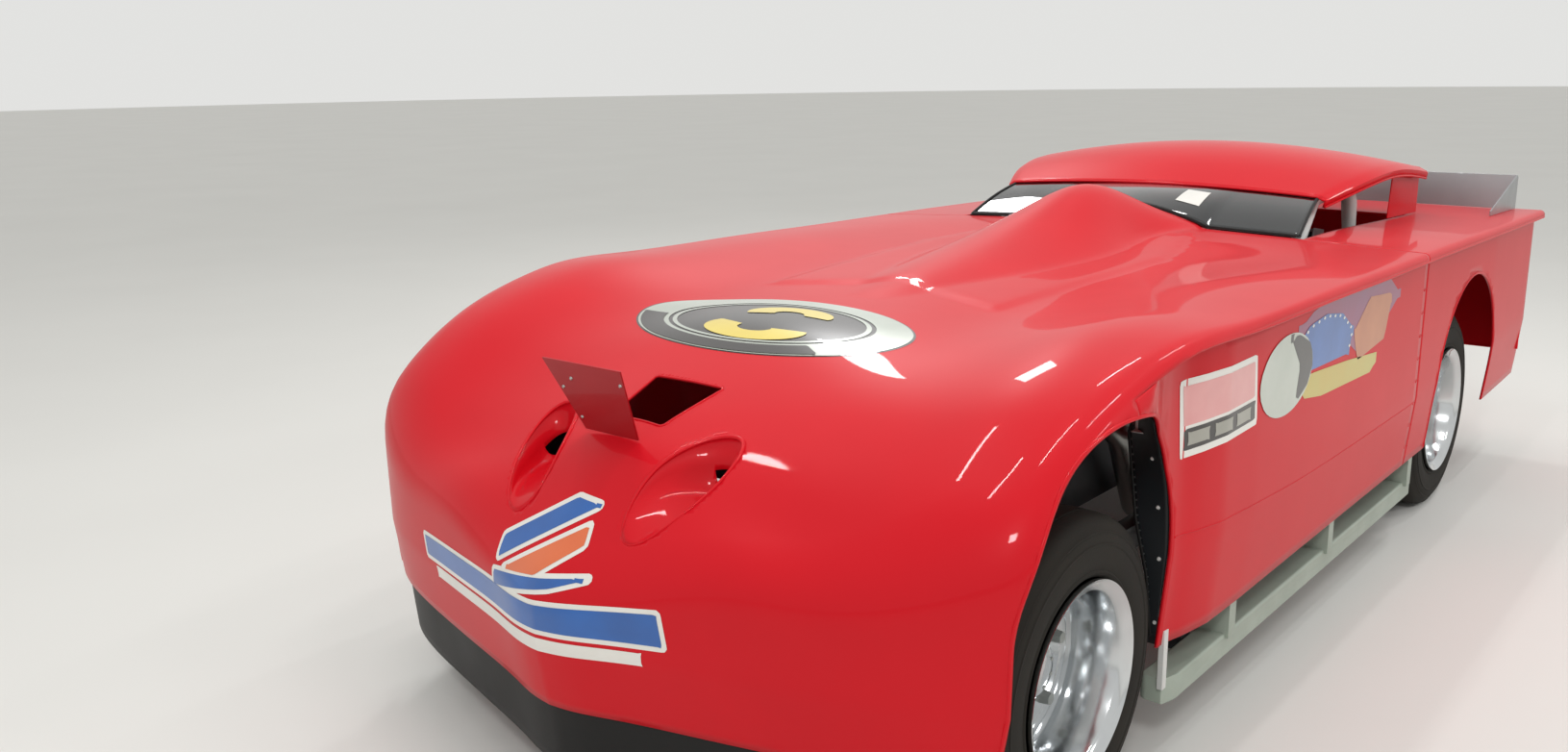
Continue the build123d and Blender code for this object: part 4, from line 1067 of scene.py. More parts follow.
def windscreen():
    """The screen, the struts behind it, a blank sticker and the trim round it."""
    bm = bmesh.new()
    fill_net(bm, screen_place, np.linspace(-1, 1, 61), np.linspace(0, 1, 14))
    add_piece("windscreen", bm, "dark_glass", node="windshield", wall=0.004)
    bm = bmesh.new()
    for share in (-0.5, 0.0, 0.5):
        tube_along(bm, [screen_place(share, up, -0.016) for up in np.linspace(0.02, 0.98, 12)], 0.006, 10)
    add_piece("screen_struts", bm, "cage_paint")
    bm = bmesh.new()
    sticker = lambda share, up: screen_place(share, up, 0.0035)
    fill_net(bm, sticker, np.linspace(0.26, 0.40, 8), np.linspace(0.30, 0.72, 6))
    add_piece("screen_sticker", bm, "white_sheet", slot="glass")
    bm = bmesh.new()
    for up in (0.015, 0.985):
        tube_along(bm, [screen_place(share, up, 0.002) for share in np.linspace(-0.99, 0.99, 50)], 0.005, 8)
    for share in (-0.99, 0.99):
        tube_along(bm, [screen_place(share, up, 0.002) for up in np.linspace(0.02, 0.98, 12)], 0.005, 8)
    add_piece("screen_trim", bm, "black_plastic")


windscreen()


def dam_sheet():
    """The air dam, a bent sheet under the nose's lower edge."""
    dam_foot, dam_overlap, dam_rake = 0.132, 0.012, 0.018
    rows = section_along(np.linspace(0, dam_run, 50))
    rows[0, 0] = 0
    bm = bmesh.new()
    for side in (1, -1):

        def place(row, up):
            x, station, _, foot_z, foot_in = row[:5]
            back = foot_in + 0.010 + dam_rake * (1 - up)
            z = dam_foot + (foot_z + dam_overlap - dam_foot) * up
            return to_world((side * x * 0.985, station + back, z))

        fill_net(bm, place, rows, np.linspace(0, 1, 8), flip=side > 0)
    add_piece("dam_sheet", bm, "black_plastic", 50, node="air_dam", wall=0.005)


dam_sheet()


def duct_floor(along, across):
    """Height of the duct's floor at a place in its plan: a ramp that is deepest near its rear."""
    share = min(math.hypot(along, across), 1)
    x, station = duct_place(along, across)
    ramp = min(max((along + 1.0) / 1.55, 0), 1) ** 1.1
    depth = duct_depth * ramp * math.sqrt(max(0, 1 - share**5))
    return x, station, float(top_height(x, station)[0]) - depth


def duct_bowls():
    """The two bowls of the nose ducts, each with a slot at its rear end."""
    bm = bmesh.new()
    for side in (1, -1):

        def place(share, angle):
            x, station, z = duct_floor(share * math.cos(angle), share * math.sin(angle))
            return to_world((side * x, station, z))

        shares = [1 - ring / 16 * 0.97 for ring in range(17)]
        rows = fill_net(bm, place, shares, turns(64), flip=side < 0, wrap_columns=True)
        bm.faces.new(rows[-1] if side < 0 else rows[-1][::-1])
    in_slot = lambda p: duct_along(p) > duct_slot - 0.2
    cut_along(bm, lambda p: duct_along(p) - duct_slot, in_slot)
    cut_along(bm, lambda p: duct_share(p) - 0.9, in_slot)
    drop_faces(bm, lambda p: duct_along(p) > duct_slot and duct_share(p) < 0.9)
    add_piece("duct_bowls", bm, "red_paint", 50, wall=0.003)


def on_skin(x, station, side=1):
    """A place just under the top of the skin."""
    return to_world((side * x, station, float(top_height(x, station)[0]) - 0.001))


def duct_rims():
    """The rolled rim of each duct and the folded edge round the opening between them."""
    bm = bmesh.new()
    for side in (1, -1):
        points, radii = [], []
        for angle in turns(96):
            along, across = math.cos(angle), math.sin(angle)
            points.append(on_skin(*duct_place(along, across), side))
            # Full on the inner and rear side, thin at the front and outer side
            radii.append(0.0022 + 0.0026 * min(max(0.5 + 0.6 * along - 0.4 * across, 0), 1))
        tube_along(bm, points, radii, 10, closed=True)
    (front_x, front), (rear_x, rear) = OPENING
    corners = [(-front_x, front), (front_x, front), (rear_x, rear), (-rear_x, rear)]
    points = []
    for (x0, s0), (x1, s1) in zip(corners, corners[1:] + corners[:1]):
        for share in np.linspace(0.04, 0.96, 24):
            points.append(on_skin(x0 + (x1 - x0) * share, s0 + (s1 - s0) * share))
    tube_along(bm, points, 0.0032, 8, closed=True)
    add_piece("duct_rims", bm, "red_paint")


duct_bowls()
duct_rims()


# Fasteners, made by nodes at points that carry the direction they face
def head_tree():
    """A cone or prism on each point, turned to the point's facing attribute."""
    tree, given = new_tree(
        "fastener_heads",
        "GeometryNodeTree",
        [
            ("Geometry", "Geometry", None), ("Sides", "Int", 12), ("Radius", "Float", 0.003),
            ("Rise", "Float", 0.002), ("Top Share", "Float", 0.6), ("Material", "Material", None),
        ],
        [("Geometry", "Geometry")],
    )
    narrow = {0: given["Radius"], 1: given["Top Share"]}
    top = add_node(tree, "ShaderNodeMath", narrow, operation="MULTIPLY").outputs[0]
    form = {"Vertices": given["Sides"], "Radius Bottom": given["Radius"], "Radius Top": top}
    form["Depth"] = given["Rise"]
    cone = add_node(tree, "GeometryNodeMeshCone", form).outputs["Mesh"]
    named = add_node(tree, "GeometryNodeInputNamedAttribute", {"Name": "facing"}, data_type="FLOAT_VECTOR")
    facing = {"Vector": named.outputs["Attribute"]}
    turn = add_node(tree, "FunctionNodeAlignRotationToVector", facing, axis="Z").outputs["Rotation"]
    set_out = {"Points": given["Geometry"], "Instance": cone, "Rotation": turn}
    spread = add_node(tree, "GeometryNodeInstanceOnPoints", set_out).outputs["Instances"]
    real = add_node(tree, "GeometryNodeRealizeInstances", {"Geometry": spread}).outputs["Geometry"]
    paint = {"Geometry": real, "Material": given["Material"]}
    coloured = add_node(tree, "GeometryNodeSetMaterial", paint).outputs["Geometry"]
    add_node(tree, "NodeGroupOutput", {"Geometry": coloured})
    return tree


fastener_heads = head_tree()
head_inputs = {
    item.name: item.identifier for item in fastener_heads.interface.items_tree if item.in_out == "INPUT"
}


def realized(obj):
    """Makes an object's modifiers into its plain mesh."""
    graph = bpy.context.evaluated_depsgraph_get()
    obj_mesh = bpy.data.meshes.new_from_object(obj.evaluated_get(graph), depsgraph=graph)
    obj.modifiers.clear()
    obj.data = obj_mesh
    return obj_mesh


def heads(
    name, spots, radius, rise, finish_name="plated_steel", body="chassis", sides=12, top=0.6,
    slot="plated_steel",
):
    """Heads at spots of (place, facing), as one plain mesh."""
    mesh = bpy.data.meshes.new(name)
    mesh.from_pydata([place for place, _ in spots], [], [])
    facing = mesh.attributes.new("facing", "FLOAT_VECTOR", "POINT")
    for index, (_, outward) in enumerate(spots):
        facing.data[index].vector = outward
    obj = bpy.data.objects.new(name, mesh)
    bpy.context.scene.collection.objects.link(obj)
    maker = obj.modifiers.new("heads", "NODES")
    maker.node_group = fastener_heads
    given = {"Sides": sides, "Radius": radius, "Rise": rise, "Top Share": top}
    given["Material"] = finishes[finish_name]
    for label, value in given.items():
        maker[head_inputs[label]] = value
    made = realized(obj)
    made.shade_smooth()
    made.set_sharp_from_angle(angle=math.radians(30))
    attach(obj, body)


# The sheet that closes the gap behind each front wheel, with the height and half width of its inner
# edge at each of its bends
liner_top, liner_foot = 0.850, 0.318
liner_clearance = 0.012
liner_station = 0.343
LINER_INNER = [(0.318, 0.846), (0.453, 0.831), (0.576, 0.800), (0.766, 0.776), (0.850, 0.800)]
liner_inner_table = np.array(LINER_INNER)


def liner_edges(z):
    """The outer and inner places of the liner at a height, as half width and station."""
    reach = arch_radius
    if z > arch_centre_height:
        reach = math.sqrt(arch_radius**2 - (z - arch_centre_height) ** 2)
    station = arch_station + reach + liner_clearance
    outer = (float(panel_x(station, z)) - liner_clearance, station)
    inner_x = float(np.interp(z, liner_inner_table[:, 0], liner_inner_table[:, 1]))
    return outer, (inner_x, max(liner_station, station))


def liner_place(z, share, side, lift=0.0):
    """A place on the liner, by its height and its share of the way in from the outer edge."""
    (x0, s0), (x1, s1) = liner_edges(z)
    return to_world((side * (x0 + (x1 - x0) * share), s0 + (s1 - s0) * share - lift, z))


# The liner's brackets as two corners, each half width, station and height
LINER_BRACKETS = [
    ((0.800, 0.318, 0.782), (0.872, 0.325, 0.802)),
    ((0.800, 0.300, 0.779), (0.872, 0.325, 0.782)),
    ((0.862, 0.352, 0.190), (0.876, 0.372, 0.330)),
]


def liner(hand, side):
    """One liner with its rolled inner edge, rivets, row of holes and brackets."""
    heights = np.linspace(liner_foot, liner_top, 40)
    bm = bmesh.new()
    fill_net(bm, lambda z, share: liner_place(z, share, side), heights, np.linspace(0, 1, 9))
    add_piece(f"liner_sheet_{hand}", bm, "liner_sheet", 50, node=f"wheel_liner_{hand}", wall=0.003)
    bm = bmesh.new()
    tube_along(bm, [liner_place(z, 1.0, side) for z in heights], 0.0045, 8)
    add_piece(f"liner_bead_{hand}", bm, "black_plastic", 50)
    forward = Vector((0, -1, 0))
    spots = [(liner_place(z, 0.30, side, 0.001), forward) for z in (0.350, 0.497, 0.613, 0.728)]
    heads(f"liner_rivets_{hand}", spots, 0.0050, 0.004, "cage_paint")
    spots = [(liner_place(z, 0.93, side, 0.001), forward) for z in np.linspace(0.40, 0.82, 26)]
    heads(f"liner_holes_{hand}", spots, 0.0024, 0.0012, "sheet_aluminium", sides=8, top=0.9)
    bm = bmesh.new()
    for (x0, s0, z0), (x1, s1, z1) in LINER_BRACKETS:
        solid_box(bm, (side * x0, s0 + front_axle_y, z0), (side * x1, s1 + front_axle_y, z1))
    add_piece(f"liner_brackets_{hand}", bm, "cage_paint", 30, rounding=0.0015)


liner("left", 1)
liner("right", -1)


# CAD pieces that only need their edges rounded, with the width of the edge
EDGED = {
    "spoiler": 0.0015, "tail_panel": 0.001, "sail_panel_left": 0.001, "sail_panel_right": 0.001,
    "rocker_left": 0.003, "rocker_right": 0.003, "frame": 0.003, "front_arms": 0.003, "engine": 0.006,
    "gearbox": 0.006, "radiator": 0.003, "fuel_cell": 0.008, "rear_links": 0.002,
    "interior_panels": 0.0012, "seat": 0.0015, "floor_pan": 0.0015,
}
for node, width in EDGED.items():
    slot = node_slots[node]
    add_piece(
        f"{node}_edged", merged_copy(node), slot_finishes[slot], 32, node=node, slot=slot, rounding=width,
        recalculate=False,
    )


def nose_flap():
    """The flap in front of the nose opening, seated a little lower than its plain solid."""
    bm = merged_copy("nose_flap")
    bmesh.ops.translate(bm, verts=bm.verts, vec=(-0.014, -0.012, -0.007))
    flap_tree = BVHTree.FromBMesh(bm)
    # The flap takes the darker red, painted shade where it stands in shadow
    add_piece("flap_sheet", bm, "flap_painted_shade", 32, node="nose_flap", rounding=0.0012, recalculate=False)
    screws = ((-0.100, 0.900), (-0.062, 0.925), (-0.085, 0.830), (0.085, 0.830), (0.085, 0.930))
    starts = [(x, cad_low.y - 1, z) for x, z in screws]
    heads("flap_fasteners", ray_spots(flap_tree, starts, (0, 1, 0)), 0.0045, 0.003)


nose_flap()


# The soft fold along the doors, as station and height
FOLD = [(0.345, 0.552), (0.60, 0.540), (0.99, 0.518), (1.45, 0.508), (door_rear - 0.01, 0.504)]
fold_line = natural_spline(*zip(*FOLD))


def door_folds():
    """A thin ridge along each door."""
    bm = bmesh.new()
    for side in (1, -1):
        along = np.linspace(FOLD[0][0], FOLD[-1][0], 90)
        heights = [float(fold_line([station])[0][0]) for station in along]
        tube_along(bm, [on_flank(*spot, side, -0.0008) for spot in zip(along, heights)], 0.0026, 8)
    add_piece("door_folds", bm, "red_paint")


door_folds()


# Steering wheel: a grooved rim, three slotted spokes and the column behind them
grip_centre = Vector((0.302, 2.060 + front_axle_y, 0.800))
grip_axis = Vector((0, 0.906, 0.423)).normalized()
grip_radius = 0.165
grip_thickness = 0.0128
column_length = 0.222
level = Vector((1, 0, 0))
steep = grip_axis.cross(level)


def around_grip(angle, reach, forward=0.0):
    """A place in the steering wheel's plane, or ahead of it."""
    return grip_centre + reach * (math.cos(angle) * level + math.sin(angle) * steep) + forward * grip_axis


# Along a spoke: reach, half width there, half width of its slot there
SPOKE = [
    (0.020, 0.020, 0.0), (0.050, 0.017, 0.0), (0.062, 0.016, 0.007),
    (0.118, 0.013, 0.005), (0.130, 0.013, 0.0), (0.160, 0.016, 0.0),
]


def steering_wheel():
    """The grooved grip with its column, the spokes and the bolts round the hub."""
    groove_count, groove_depth = 30, 0.0008
    bm = bmesh.new()
    grooves = [grip_thickness + groove_depth * math.sin(groove_count * turn) for turn in turns(160)]
    tube_along(bm, [around_grip(turn, grip_radius) for turn in turns(160)], grooves, 12, closed=True)
    behind = lambda depth: grip_centre - grip_axis * depth
    tube_along(bm, [behind(0.016), behind(column_length)], 0.014, 20)
    tube_along(bm, [behind(0.050), behind(0.004)], [0.020, 0.026], 24)
    add_piece("steering_grip", bm, "black_plastic", 40, node="steering_wheel")
    bm = bmesh.new()
    for angle in turns(3, math.radians(90)):
        away = math.cos(angle) * level + math.sin(angle) * steep
        beside = grip_axis.cross(away)
        rows = []
        for reach, half, slot_half in SPOKE:
            spine = grip_centre + away * reach
            edge = slot_half + 1e-4
            rows.append([bm.verts.new(spine + beside * w) for w in (-half, -edge, edge, half)])
        for (near, far), (first, last) in zip(zip(rows, rows[1:]), zip(SPOKE, SPOKE[1:])):
            slotted = first[2] > 0 or last[2] > 0
            for column in (0, 2) if slotted else (0, 1, 2):
                bm.faces.new((near[column], near[column + 1], far[column + 1], far[column]))
    add_piece("steering_spokes", bm, "sheet_aluminium", 40, wall=0.004)
    spots = [(around_grip(turn, 0.015, 0.0018), grip_axis) for turn in turns(6, math.radians(30))]
    heads("steering_bolts", spots, 0.0030, 0.003, sides=6, top=0.9)


steering_wheel()


# The tail sheet's edges
tail_half, tail_foot, tail_top = 0.880, 0.400, 0.940
tail_face = tail_y - 0.018


def tail_edges():
    """An angle that closes each corner of the tail, and a rolled foot."""
    bm = bmesh.new()
    low_end = tail_foot + 0.002
    for side in (1, -1):
        outer = side * (float(panel_x(tail_station, 0.6)) - 0.007)
        low = (side * (tail_half - 0.014), tail_face - 0.009, low_end)
        solid_box(bm, low, (outer, tail_face - 0.0065, tail_top))
        column = [(outer, tail_face - 0.008, z) for z in np.linspace(low_end, tail_top, 20)]
        tube_along(bm, column, bead_radius, 8)
    foot = [(x, tail_face - 0.003, tail_foot) for x in np.linspace(-tail_half, tail_half, 40)]
    tube_along(bm, foot, 0.005, 10)
    add_piece("tail_edges", bm, "red_paint", 40)


def seam_rivets():
    """Rivets on both sides of the door's rear seam and along the tail's edges."""
    spots = []
    for side in (1, -1):
        for z in np.arange(0.36, 0.92, 0.07):
            for gap in (-0.014, 0.014):
                spots.append((on_flank(door_rear + gap, z, side, 0.0), Vector((side, 0, 0))))
    rearward = Vector((0, 1, 0))
    for side in (1, -1):
        for z in np.arange(tail_foot + 0.03, tail_top, 0.075):
            spots.append((Vector((side * (tail_half - 0.010), tail_face, z)), rearward))
    for x in np.arange(-tail_half + 0.08, tail_half - 0.07, 0.11):
        spots.append((Vector((x, tail_face, tail_top - 0.012)), rearward))
    heads("seam_rivets", spots, 0.0032, 0.0014, "red_paint", slot="body_paint")


def spoiler_rivets():
    """Rivets along the spoiler's foot and edge, found on its own plain solid."""
    mesh = nodes["spoiler"].data
    spoiler_tree = BVHTree.FromPolygons([v.co for v in mesh.vertices], [p.vertices for p in mesh.polygons])
    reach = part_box("spoiler")[1].x - 0.05
    starts = [(x, tail_y + 0.5, z) for x in np.linspace(-reach, reach, 17) for z in (0.968, 1.060)]
    heads("spoiler_rivets", ray_spots(spoiler_tree, starts, (0, -1, 0)), 0.0034, 0.0016)


tail_edges()
seam_rivets()
spoiler_rivets()


# Coil-overs: a damper inside a helical spring, each along the axis of its own CAD solid
def islands(bm):
    """The vertex places of each separate solid of a mesh."""
    left, groups = set(bm.verts), []
    while left:
        heap, group = [left.pop()], []
        while heap:
            vert = heap.pop()
            group.append(vert.co.copy())
            for edge in vert.link_edges:
                other = edge.other_vert(vert)
                if other in left:
                    left.discard(other)
                    heap.append(other)
        groups.append(np.array(group))
    bm.free()
    return groups


# Parts of a damper: start and end as shares of the low or high end, radius as a share, sides
DAMPER_PARTS = [
    (("low", 1.00), ("low", 0.78), 0.34, 16),
    (("low", 0.80), ("low", 0.74), 0.98, 24),
    (("low", 0.78), ("high", 0.30), 0.58, 20),
    (("high", 0.28), ("high", 0.90), 0.24, 16),
    (("high", 0.86), ("high", 0.92), 0.98, 24),
    (("high", 0.90), ("high", 1.00), 0.34, 16),
]
spring_turns = 9
steps_per_turn = 20
wire_share = 0.13


def coil_overs():
    """A spring and a damper for each solid of the plain node."""
    springs, dampers = bmesh.new(), bmesh.new()
    for group in islands(merged_copy("coil_overs", join_flats=False)):
        centre = (group.min(axis=0) + group.max(axis=0)) / 2
        axis = np.linalg.svd(group - group.mean(axis=0))[2][0]
        axis *= math.copysign(1, axis[2])
        along = (group - centre) @ axis
        across = np.linalg.norm(group - centre - np.outer(along, axis), axis=1)
        radius = float(across.max())
        ends = {"low": float(along.min()), "high": float(along.max())}
        up = Vector(axis)
        aside = up.orthogonal().normalized()
        other = up.cross(aside)
        spot = lambda end, share: Vector(centre) + up * (ends[end] * share)
        wire = radius * wire_share
        foot, head = spot("low", 0.72), spot("high", 0.86)
        coil = []
        for step in range(spring_turns * steps_per_turn + 1):
            share = step / (spring_turns * steps_per_turn)
            angle = 2 * math.pi * spring_turns * share
            turned = math.cos(angle) * aside + math.sin(angle) * other
            coil.append(foot.lerp(head, share) + (radius - wire) * turned)
        tube_along(springs, coil, wire, 8)
        for start, end, share, sides in DAMPER_PARTS:
            tube_along(dampers, [spot(*start), spot(*end)], radius * share, sides)
    add_piece("coil_springs", springs, "spring_paint")
    add_piece("dampers", dampers, "plated_steel", 40, node="coil_overs")


coil_overs()


# The seat's cushion: its cloth swells under pressure and is drawn in where it is sewn
pad_shrink, pad_voxel, most_swell = 0.004, 0.006, 0.010
channel_pitch, channel_width, channel_depth = 0.09, 0.006, 0.0045
border_width, seam_width, seam_depth = 0.028, 0.004, 0.003


def swell(obj, made):
    """Cloth under pressure for twenty frames, with each place held within a limit."""
    start = [v.co.copy() for v in made.vertices]
    cloth = obj.modifiers.new("swell", "CLOTH")
    cloth.settings.use_pressure = True
    cloth.settings.uniform_pressure_force = 4
    cloth.settings.effector_weights.gravity = 0
    for step in range(1, 21):
        bpy.context.scene.frame_set(step)
    graph = bpy.context.evaluated_depsgraph_get()
    moved = [v.co.copy() for v in obj.evaluated_get(graph).data.vertices]
    obj.modifiers.clear()
    bpy.context.scene.frame_set(1)
    for vert, before, after in zip(made.vertices, start, moved):
        shift = after - before
        vert.co = before + shift * min(1, most_swell / max(shift.length, 1e-9))


def sew(made):
    """Channels across the front of the pad and one seam round its edge."""
    low = min(v.co.z for v in made.vertices)
    reach = [min(v.co.x for v in made.vertices), max(v.co.x for v in made.vertices)]
    normals = [v.normal.copy() for v in made.vertices]
    for vert, normal in zip(made.vertices, normals):
        place = vert.co
        if normal.y > -0.3 and normal.z < 0.6:
            continue
        run = place.z - low if normal.z < 0.6 else place.y
        from_channel = (run + channel_pitch / 2) % channel_pitch - channel_pitch / 2
        channel = channel_depth * math.exp(-((from_channel / channel_width) ** 2))
        border = min(place.x - reach[0], reach[1] - place.x)
        seam = seam_depth * math.exp(-(((border - border_width) / seam_width) ** 2))
        vert.co = place - normal * max(channel if border > border_width else 0, seam)


def seat_cushion():
    """The seat pad as one swollen and sewn cushion."""
    bm = merged_copy("seat_pad", join_flats=False)
    bmesh.ops.recalc_face_normals(bm, faces=bm.faces)
    bm.normal_update()
    for vert in bm.verts:
        vert.co -= vert.normal * pad_shrink
    obj = from_bmesh("seat_cushion", bm, finishes["pad_fabric"], 60)
    voxels = obj.modifiers.new("voxels", "REMESH")
    voxels.mode = "VOXEL"
    voxels.voxel_size = pad_voxel
    made = realized(obj)
    swell(obj, made)
    if not made.materials:
        made.materials.append(finishes["pad_fabric"])
    sew(made)
    made.shade_smooth()
    smooth = obj.modifiers.new("smooth", "SUBSURF")
    smooth.levels = smooth.render_levels = 1
    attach(obj, "chassis")
    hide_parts("seat_pad")


seat_cushion()


# Wheels and tyres. Each outline is a list of places: distance from the car's middle, radius
rim_lip = 0.213
rim_seat = rim_lip - 0.022
web_inset = 0.142


def side_span(node):
    """The outer and inner ends of a wheel's piece, as distances from the car's middle."""
    return sorted((abs(corner.x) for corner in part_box(node)), reverse=True)


def rim_piece(label, side, centre):
    """The rim's barrel with its rolled lips, and the stepped web inside it."""
    face, back = side_span(label("wheel"))
    lip, seat, web = rim_lip, rim_seat, face - web_inset
    barrel_outline = [
        (face - 0.002, lip - 0.004), (face, lip - 0.001), (face - 0.003, lip), (face - 0.010, lip - 0.001),
        (face - 0.014, seat + 0.002), (face - 0.06, seat - 0.004), (back + 0.06, seat - 0.004),
        (back + 0.014, seat + 0.002), (back + 0.010, lip - 0.001), (back + 0.003, lip),
        (back, lip - 0.002), (back + 0.006, lip - 0.010), (back + 0.016, seat - 0.006),
        (back + 0.060, seat - 0.012), (face - 0.150, seat - 0.014), (face - 0.134, seat - 0.016),
        (face - 0.020, seat - 0.007), (face - 0.012, seat - 0.002), (face - 0.007, lip - 0.010),
    ]
    web_outline = [
        (web + 0.004, seat - 0.012), (web + 0.010, seat - 0.026), (web + 0.006, seat - 0.040),
        (web, 0.140), (web + 0.012, 0.132), (web + 0.014, 0.088), (web + 0.004, 0.078),
        (web + 0.006, 0.062), (web + 0.038, 0.056), (web + 0.043, 0.048), (web + 0.046, 0.026),
        (web + 0.047, 0.0001), (web - 0.010, 0.0001), (web - 0.012, 0.090), (web - 0.010, 0.132),
        (web - 0.006, seat - 0.040), (web, seat - 0.026), (web - 0.008, seat - 0.012),
    ]
    bm = bmesh.new()
    lathe(bm, barrel_outline, centre, 128, side)
    lathe(bm, web_outline, centre, 128, side)
    add_piece(label("rim"), bm, "polished_rim", 40, node=label("wheel"), body=label("wheel"))


# The brake disc behind the web: two cheeks with a gap between them, on a hat that meets the web.
# Columns: depth behind the web, radius
ROTOR = [
    (0.0105, 0.070), (0.012, 0.084), (0.024, 0.088), (0.026, 0.098), (0.026, 0.146), (0.0275, 0.148),
    (0.0325, 0.148), (0.034, 0.146), (0.034, 0.138), (0.040, 0.138), (0.040, 0.146), (0.0415, 0.148),
    (0.0465, 0.148), (0.048, 0.146), (0.048, 0.092), (0.030, 0.080), (0.016, 0.070),
]


def brake_disc(label, side, centre, web):
    """The disc of one wheel, behind the web's plane."""
    bm = bmesh.new()
    lathe(bm, [(web - depth, radius) for depth, radius in ROTOR], centre, 96, side)
    add_piece(label("brake_disc"), bm, "cast_steel", 35, body=label("wheel"))


def wheel_fasteners(label, side, centre, web):
    """Five nuts, eight small bolts round the hub and the valve."""

    def ring_spots(count, reach, depth):
        spots = []
        for turn in turns(count, 0.3):
            around = Vector((0, reach * math.cos(turn), reach * math.sin(turn)))
            spots.append((Vector((side * depth, centre.y, centre.z)) + around, Vector((side, 0, 0))))
        return spots

    on_wheel = {"body": label("wheel"), "sides": 6}
    heads(label("nuts"), ring_spots(5, 0.110, web + 0.0135), 0.017, 0.020, top=0.8, **on_wheel)
    heads(label("hub_bolts"), ring_spots(8, 0.042, web + 0.0375), 0.005, 0.008, top=0.9, **on_wheel)
    bm = bmesh.new()
    valve = Vector((side * (web + 0.014), centre.y - 0.150, centre.z + 0.060))
    stem = [(0, 0, 0), (side * 0.020, 0, 0), (side * 0.034, 0.004, -0.002)]
    tube_along(bm, [valve + Vector(step) for step in stem], [0.0035, 0.003, 0.004], 10)
    add_piece(label("valve"), bm, "plated_steel", 50, body=label("wheel"))


def tyre_piece(label, side, centre):
    """A tyre with raised rings on its sidewalls and two shallow grooves in each half of its tread."""
    outer, inner = side_span(label("tyre"))
    mid = (outer + inner) / 2
    half = (outer - inner) / 2
    crown = tyre_radius - 0.0004
    groove = 0.004
    bead = 0.212
    # Half of the outline, from the bead to the tread's middle, as distances from the tyre's middle
    outline = [
        (half - 0.012, bead), (half - 0.005, bead + 0.006), (half - 0.003, bead + 0.012),
        (half - 0.006, bead + 0.016), (half - 0.002, bead + 0.026), (half, bead + 0.046),
        (half, bead + 0.060), (half - 0.0005, bead + 0.066), (half + 0.0010, bead + 0.068),
        (half + 0.0010, bead + 0.071), (half - 0.0015, bead + 0.073), (half - 0.004, bead + 0.088),
        (half - 0.006, bead + 0.090), (half - 0.005, bead + 0.094), (half - 0.009, bead + 0.098),
        (half - 0.013, crown - 0.020), (half - 0.020, crown - 0.009), (half - 0.032, crown - 0.003),
        (half * 0.66, crown - 0.001),
    ]
    for wide in (half * 0.60, half * 0.22):
        outline += [(wide + 0.003, crown), (wide + 0.002, crown - groove)]
        outline += [(wide - 0.002, crown - groove), (wide - 0.003, crown)]
    outline.append((0, crown))
    # The inner side of the wall, from the inner bead round to the outer one
    inside = [
        (0.026 - half, bead + 0.004), (0.02 - half, crown - 0.05), (0, crown - 0.02),
        (half - 0.02, crown - 0.05), (half - 0.026, bead + 0.004),
    ]
    profile = outline + [(-x, radius) for x, radius in outline[-2::-1]] + inside
    bm = bmesh.new()
    lathe(bm, [(mid + x, radius) for x, radius in profile], centre, 144, side)
    add_piece(label("tread"), bm, "tyre_rubber", 40, node=label("tyre"), body=label("wheel"))


for end in ("front", "rear"):
    for hand, side in (("left", 1), ("right", -1)):
        label = lambda kind: f"{end}_{kind}_{hand}"
        centre = middle(label("tyre"))
        web = side_span(label("wheel"))[0] - web_inset
        tyre_piece(label, side, centre)
        rim_piece(label, side, centre)
        brake_disc(label, side, centre, web)
        wheel_fasteners(label, side, centre, web)

# Floor, light and camera
floor_finish = finish("studio_floor", "E6E5E1", "E0DFDB", 0.7, 0.1, scale=0.8, specular=0.2)
bm = bmesh.new()
bmesh.ops.create_circle(bm, cap_ends=True, radius=60, segments=64)
from_bmesh("studio_floor", bm, floor_finish)

seen_strength = 0.86
light_strength = 0.75
world = bpy.data.worlds.new("studio")
bpy.context.scene.world = world
world.use_nodes = True
air = world.node_tree
# The pale background is seen by the camera, in metal and through glass, and lights nothing
path = add_node(air, "ShaderNodeLightPath").outputs
seen = path["Is Camera Ray"]
for ray in ("Is Glossy Ray", "Is Transmission Ray"):
    seen = add_node(air, "ShaderNodeMath", {0: seen, 1: path[ray]}, operation="MAXIMUM").outputs[0]
mix = {0: seen, 1: seen_strength - light_strength, 2: light_strength}
strength = add_node(air, "ShaderNodeMath", mix, operation="MULTIPLY_ADD").outputs[0]
air.nodes["Background"].inputs["Color"].default_value = hexed("F2F2F0")
air.links.new(strength, air.nodes["Background"].inputs["Strength"])


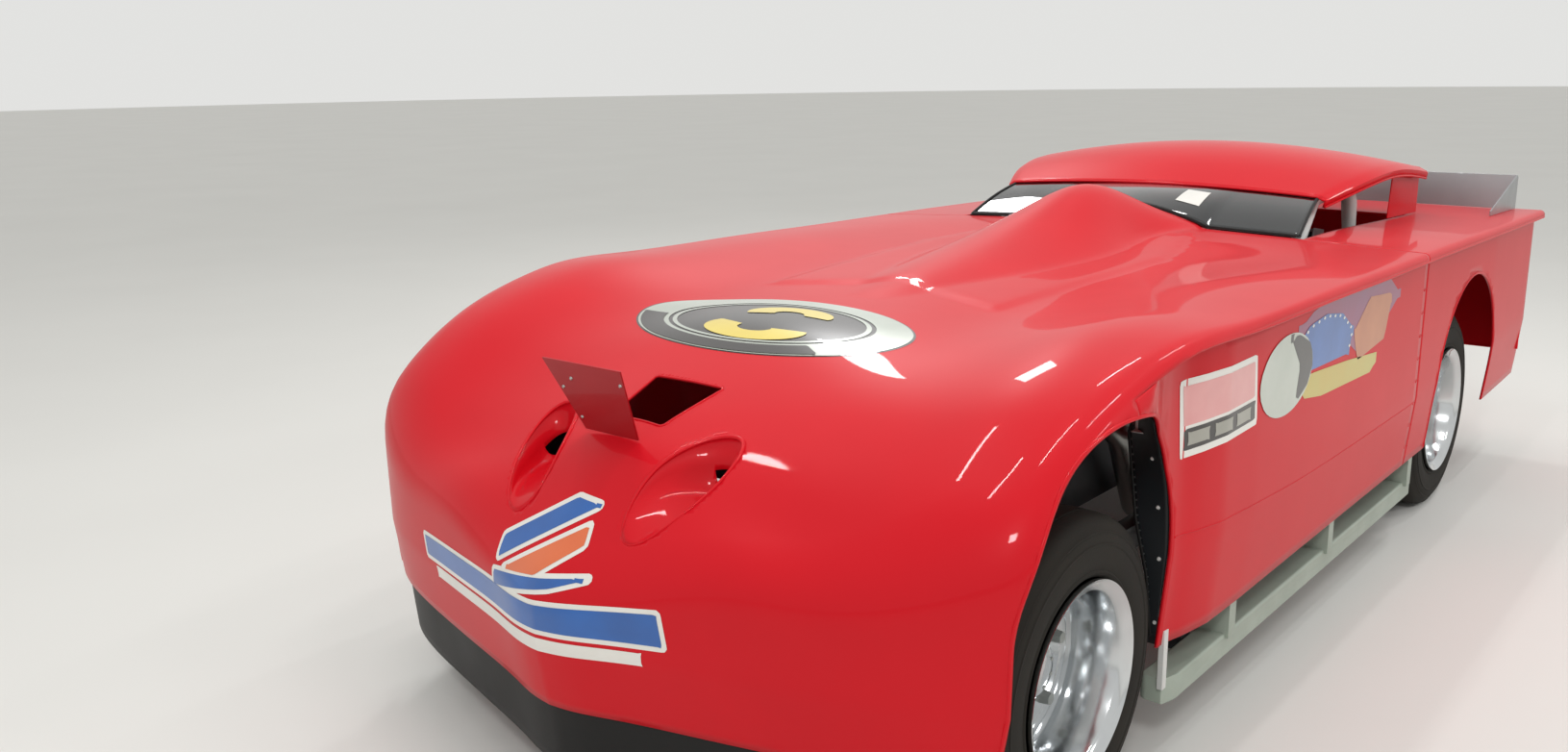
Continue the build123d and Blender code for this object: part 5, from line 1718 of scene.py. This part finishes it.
def lamp(name, place, target, size, power):
    """A rectangular lamp that faces its target."""
    light = bpy.data.lights.new(name, "AREA")
    light.shape = "RECTANGLE"
    light.size, light.size_y = size
    light.energy = power
    obj = bpy.data.objects.new(name, light)
    bpy.context.scene.collection.objects.link(obj)
    obj.location = place
    obj.rotation_euler = (Vector(target) - Vector(place)).to_track_quat("-Z", "Y").to_euler()


# Lamps: name, place, target, size, power
LAMPS = [
    ("key", (3.5, -6.0, 5.0), (0, -0.5, 0.6), (1.0, 0.8), 110),
    ("fill", (6.0, 1.5, 4.2), (0, 0.2, 0.6), (1.0, 0.8), 60),
    ("back", (-4.0, 4.0, 5.5), (0, 0.5, 0.6), (0.9, 0.9), 70),
]
strip_places = [(-1.6, -1.2), (-0.3, -2.2), (0.9, -1.1), (2.2, 0.2), (-0.2, 1.6), (1.6, 2.6)]
strip_height = 4.4
for row, (x, y) in enumerate(strip_places):
    LAMPS.append((f"strip_{row}", (x, y, strip_height), (x, y, 0), (0.08, 1.3), 16))
for row in LAMPS:
    lamp(*row)

# The view of the photograph, in pixels, degrees and metres
focal_pixels = 1389.86
photo_width = 1631
azimuth = math.radians(39.79)
pitch = math.radians(13.33)
roll = math.radians(0.90)
camera_place = Vector((1.9696, -3.685, 1.5514))
forward = Vector(
    (-math.sin(azimuth) * math.cos(pitch), math.cos(azimuth) * math.cos(pitch), -math.sin(pitch))
)
level_right = Vector((math.cos(azimuth), math.sin(azimuth), 0))
level_up = level_right.cross(forward)
right = level_right * math.cos(roll) - level_up * math.sin(roll)
up = level_right * math.sin(roll) + level_up * math.cos(roll)
camera = bpy.data.cameras.new("photo_view")
camera.sensor_width = 36
camera.lens = focal_pixels / photo_width * camera.sensor_width
camera_obj = bpy.data.objects.new("photo_view", camera)
bpy.context.scene.collection.objects.link(camera_obj)
turned = Matrix((right, up, -forward)).transposed().to_4x4()
camera_obj.matrix_world = Matrix.Translation(camera_place) @ turned
bpy.context.scene.camera = camera_obj
bpy.context.scene.view_settings.view_transform = "Standard"
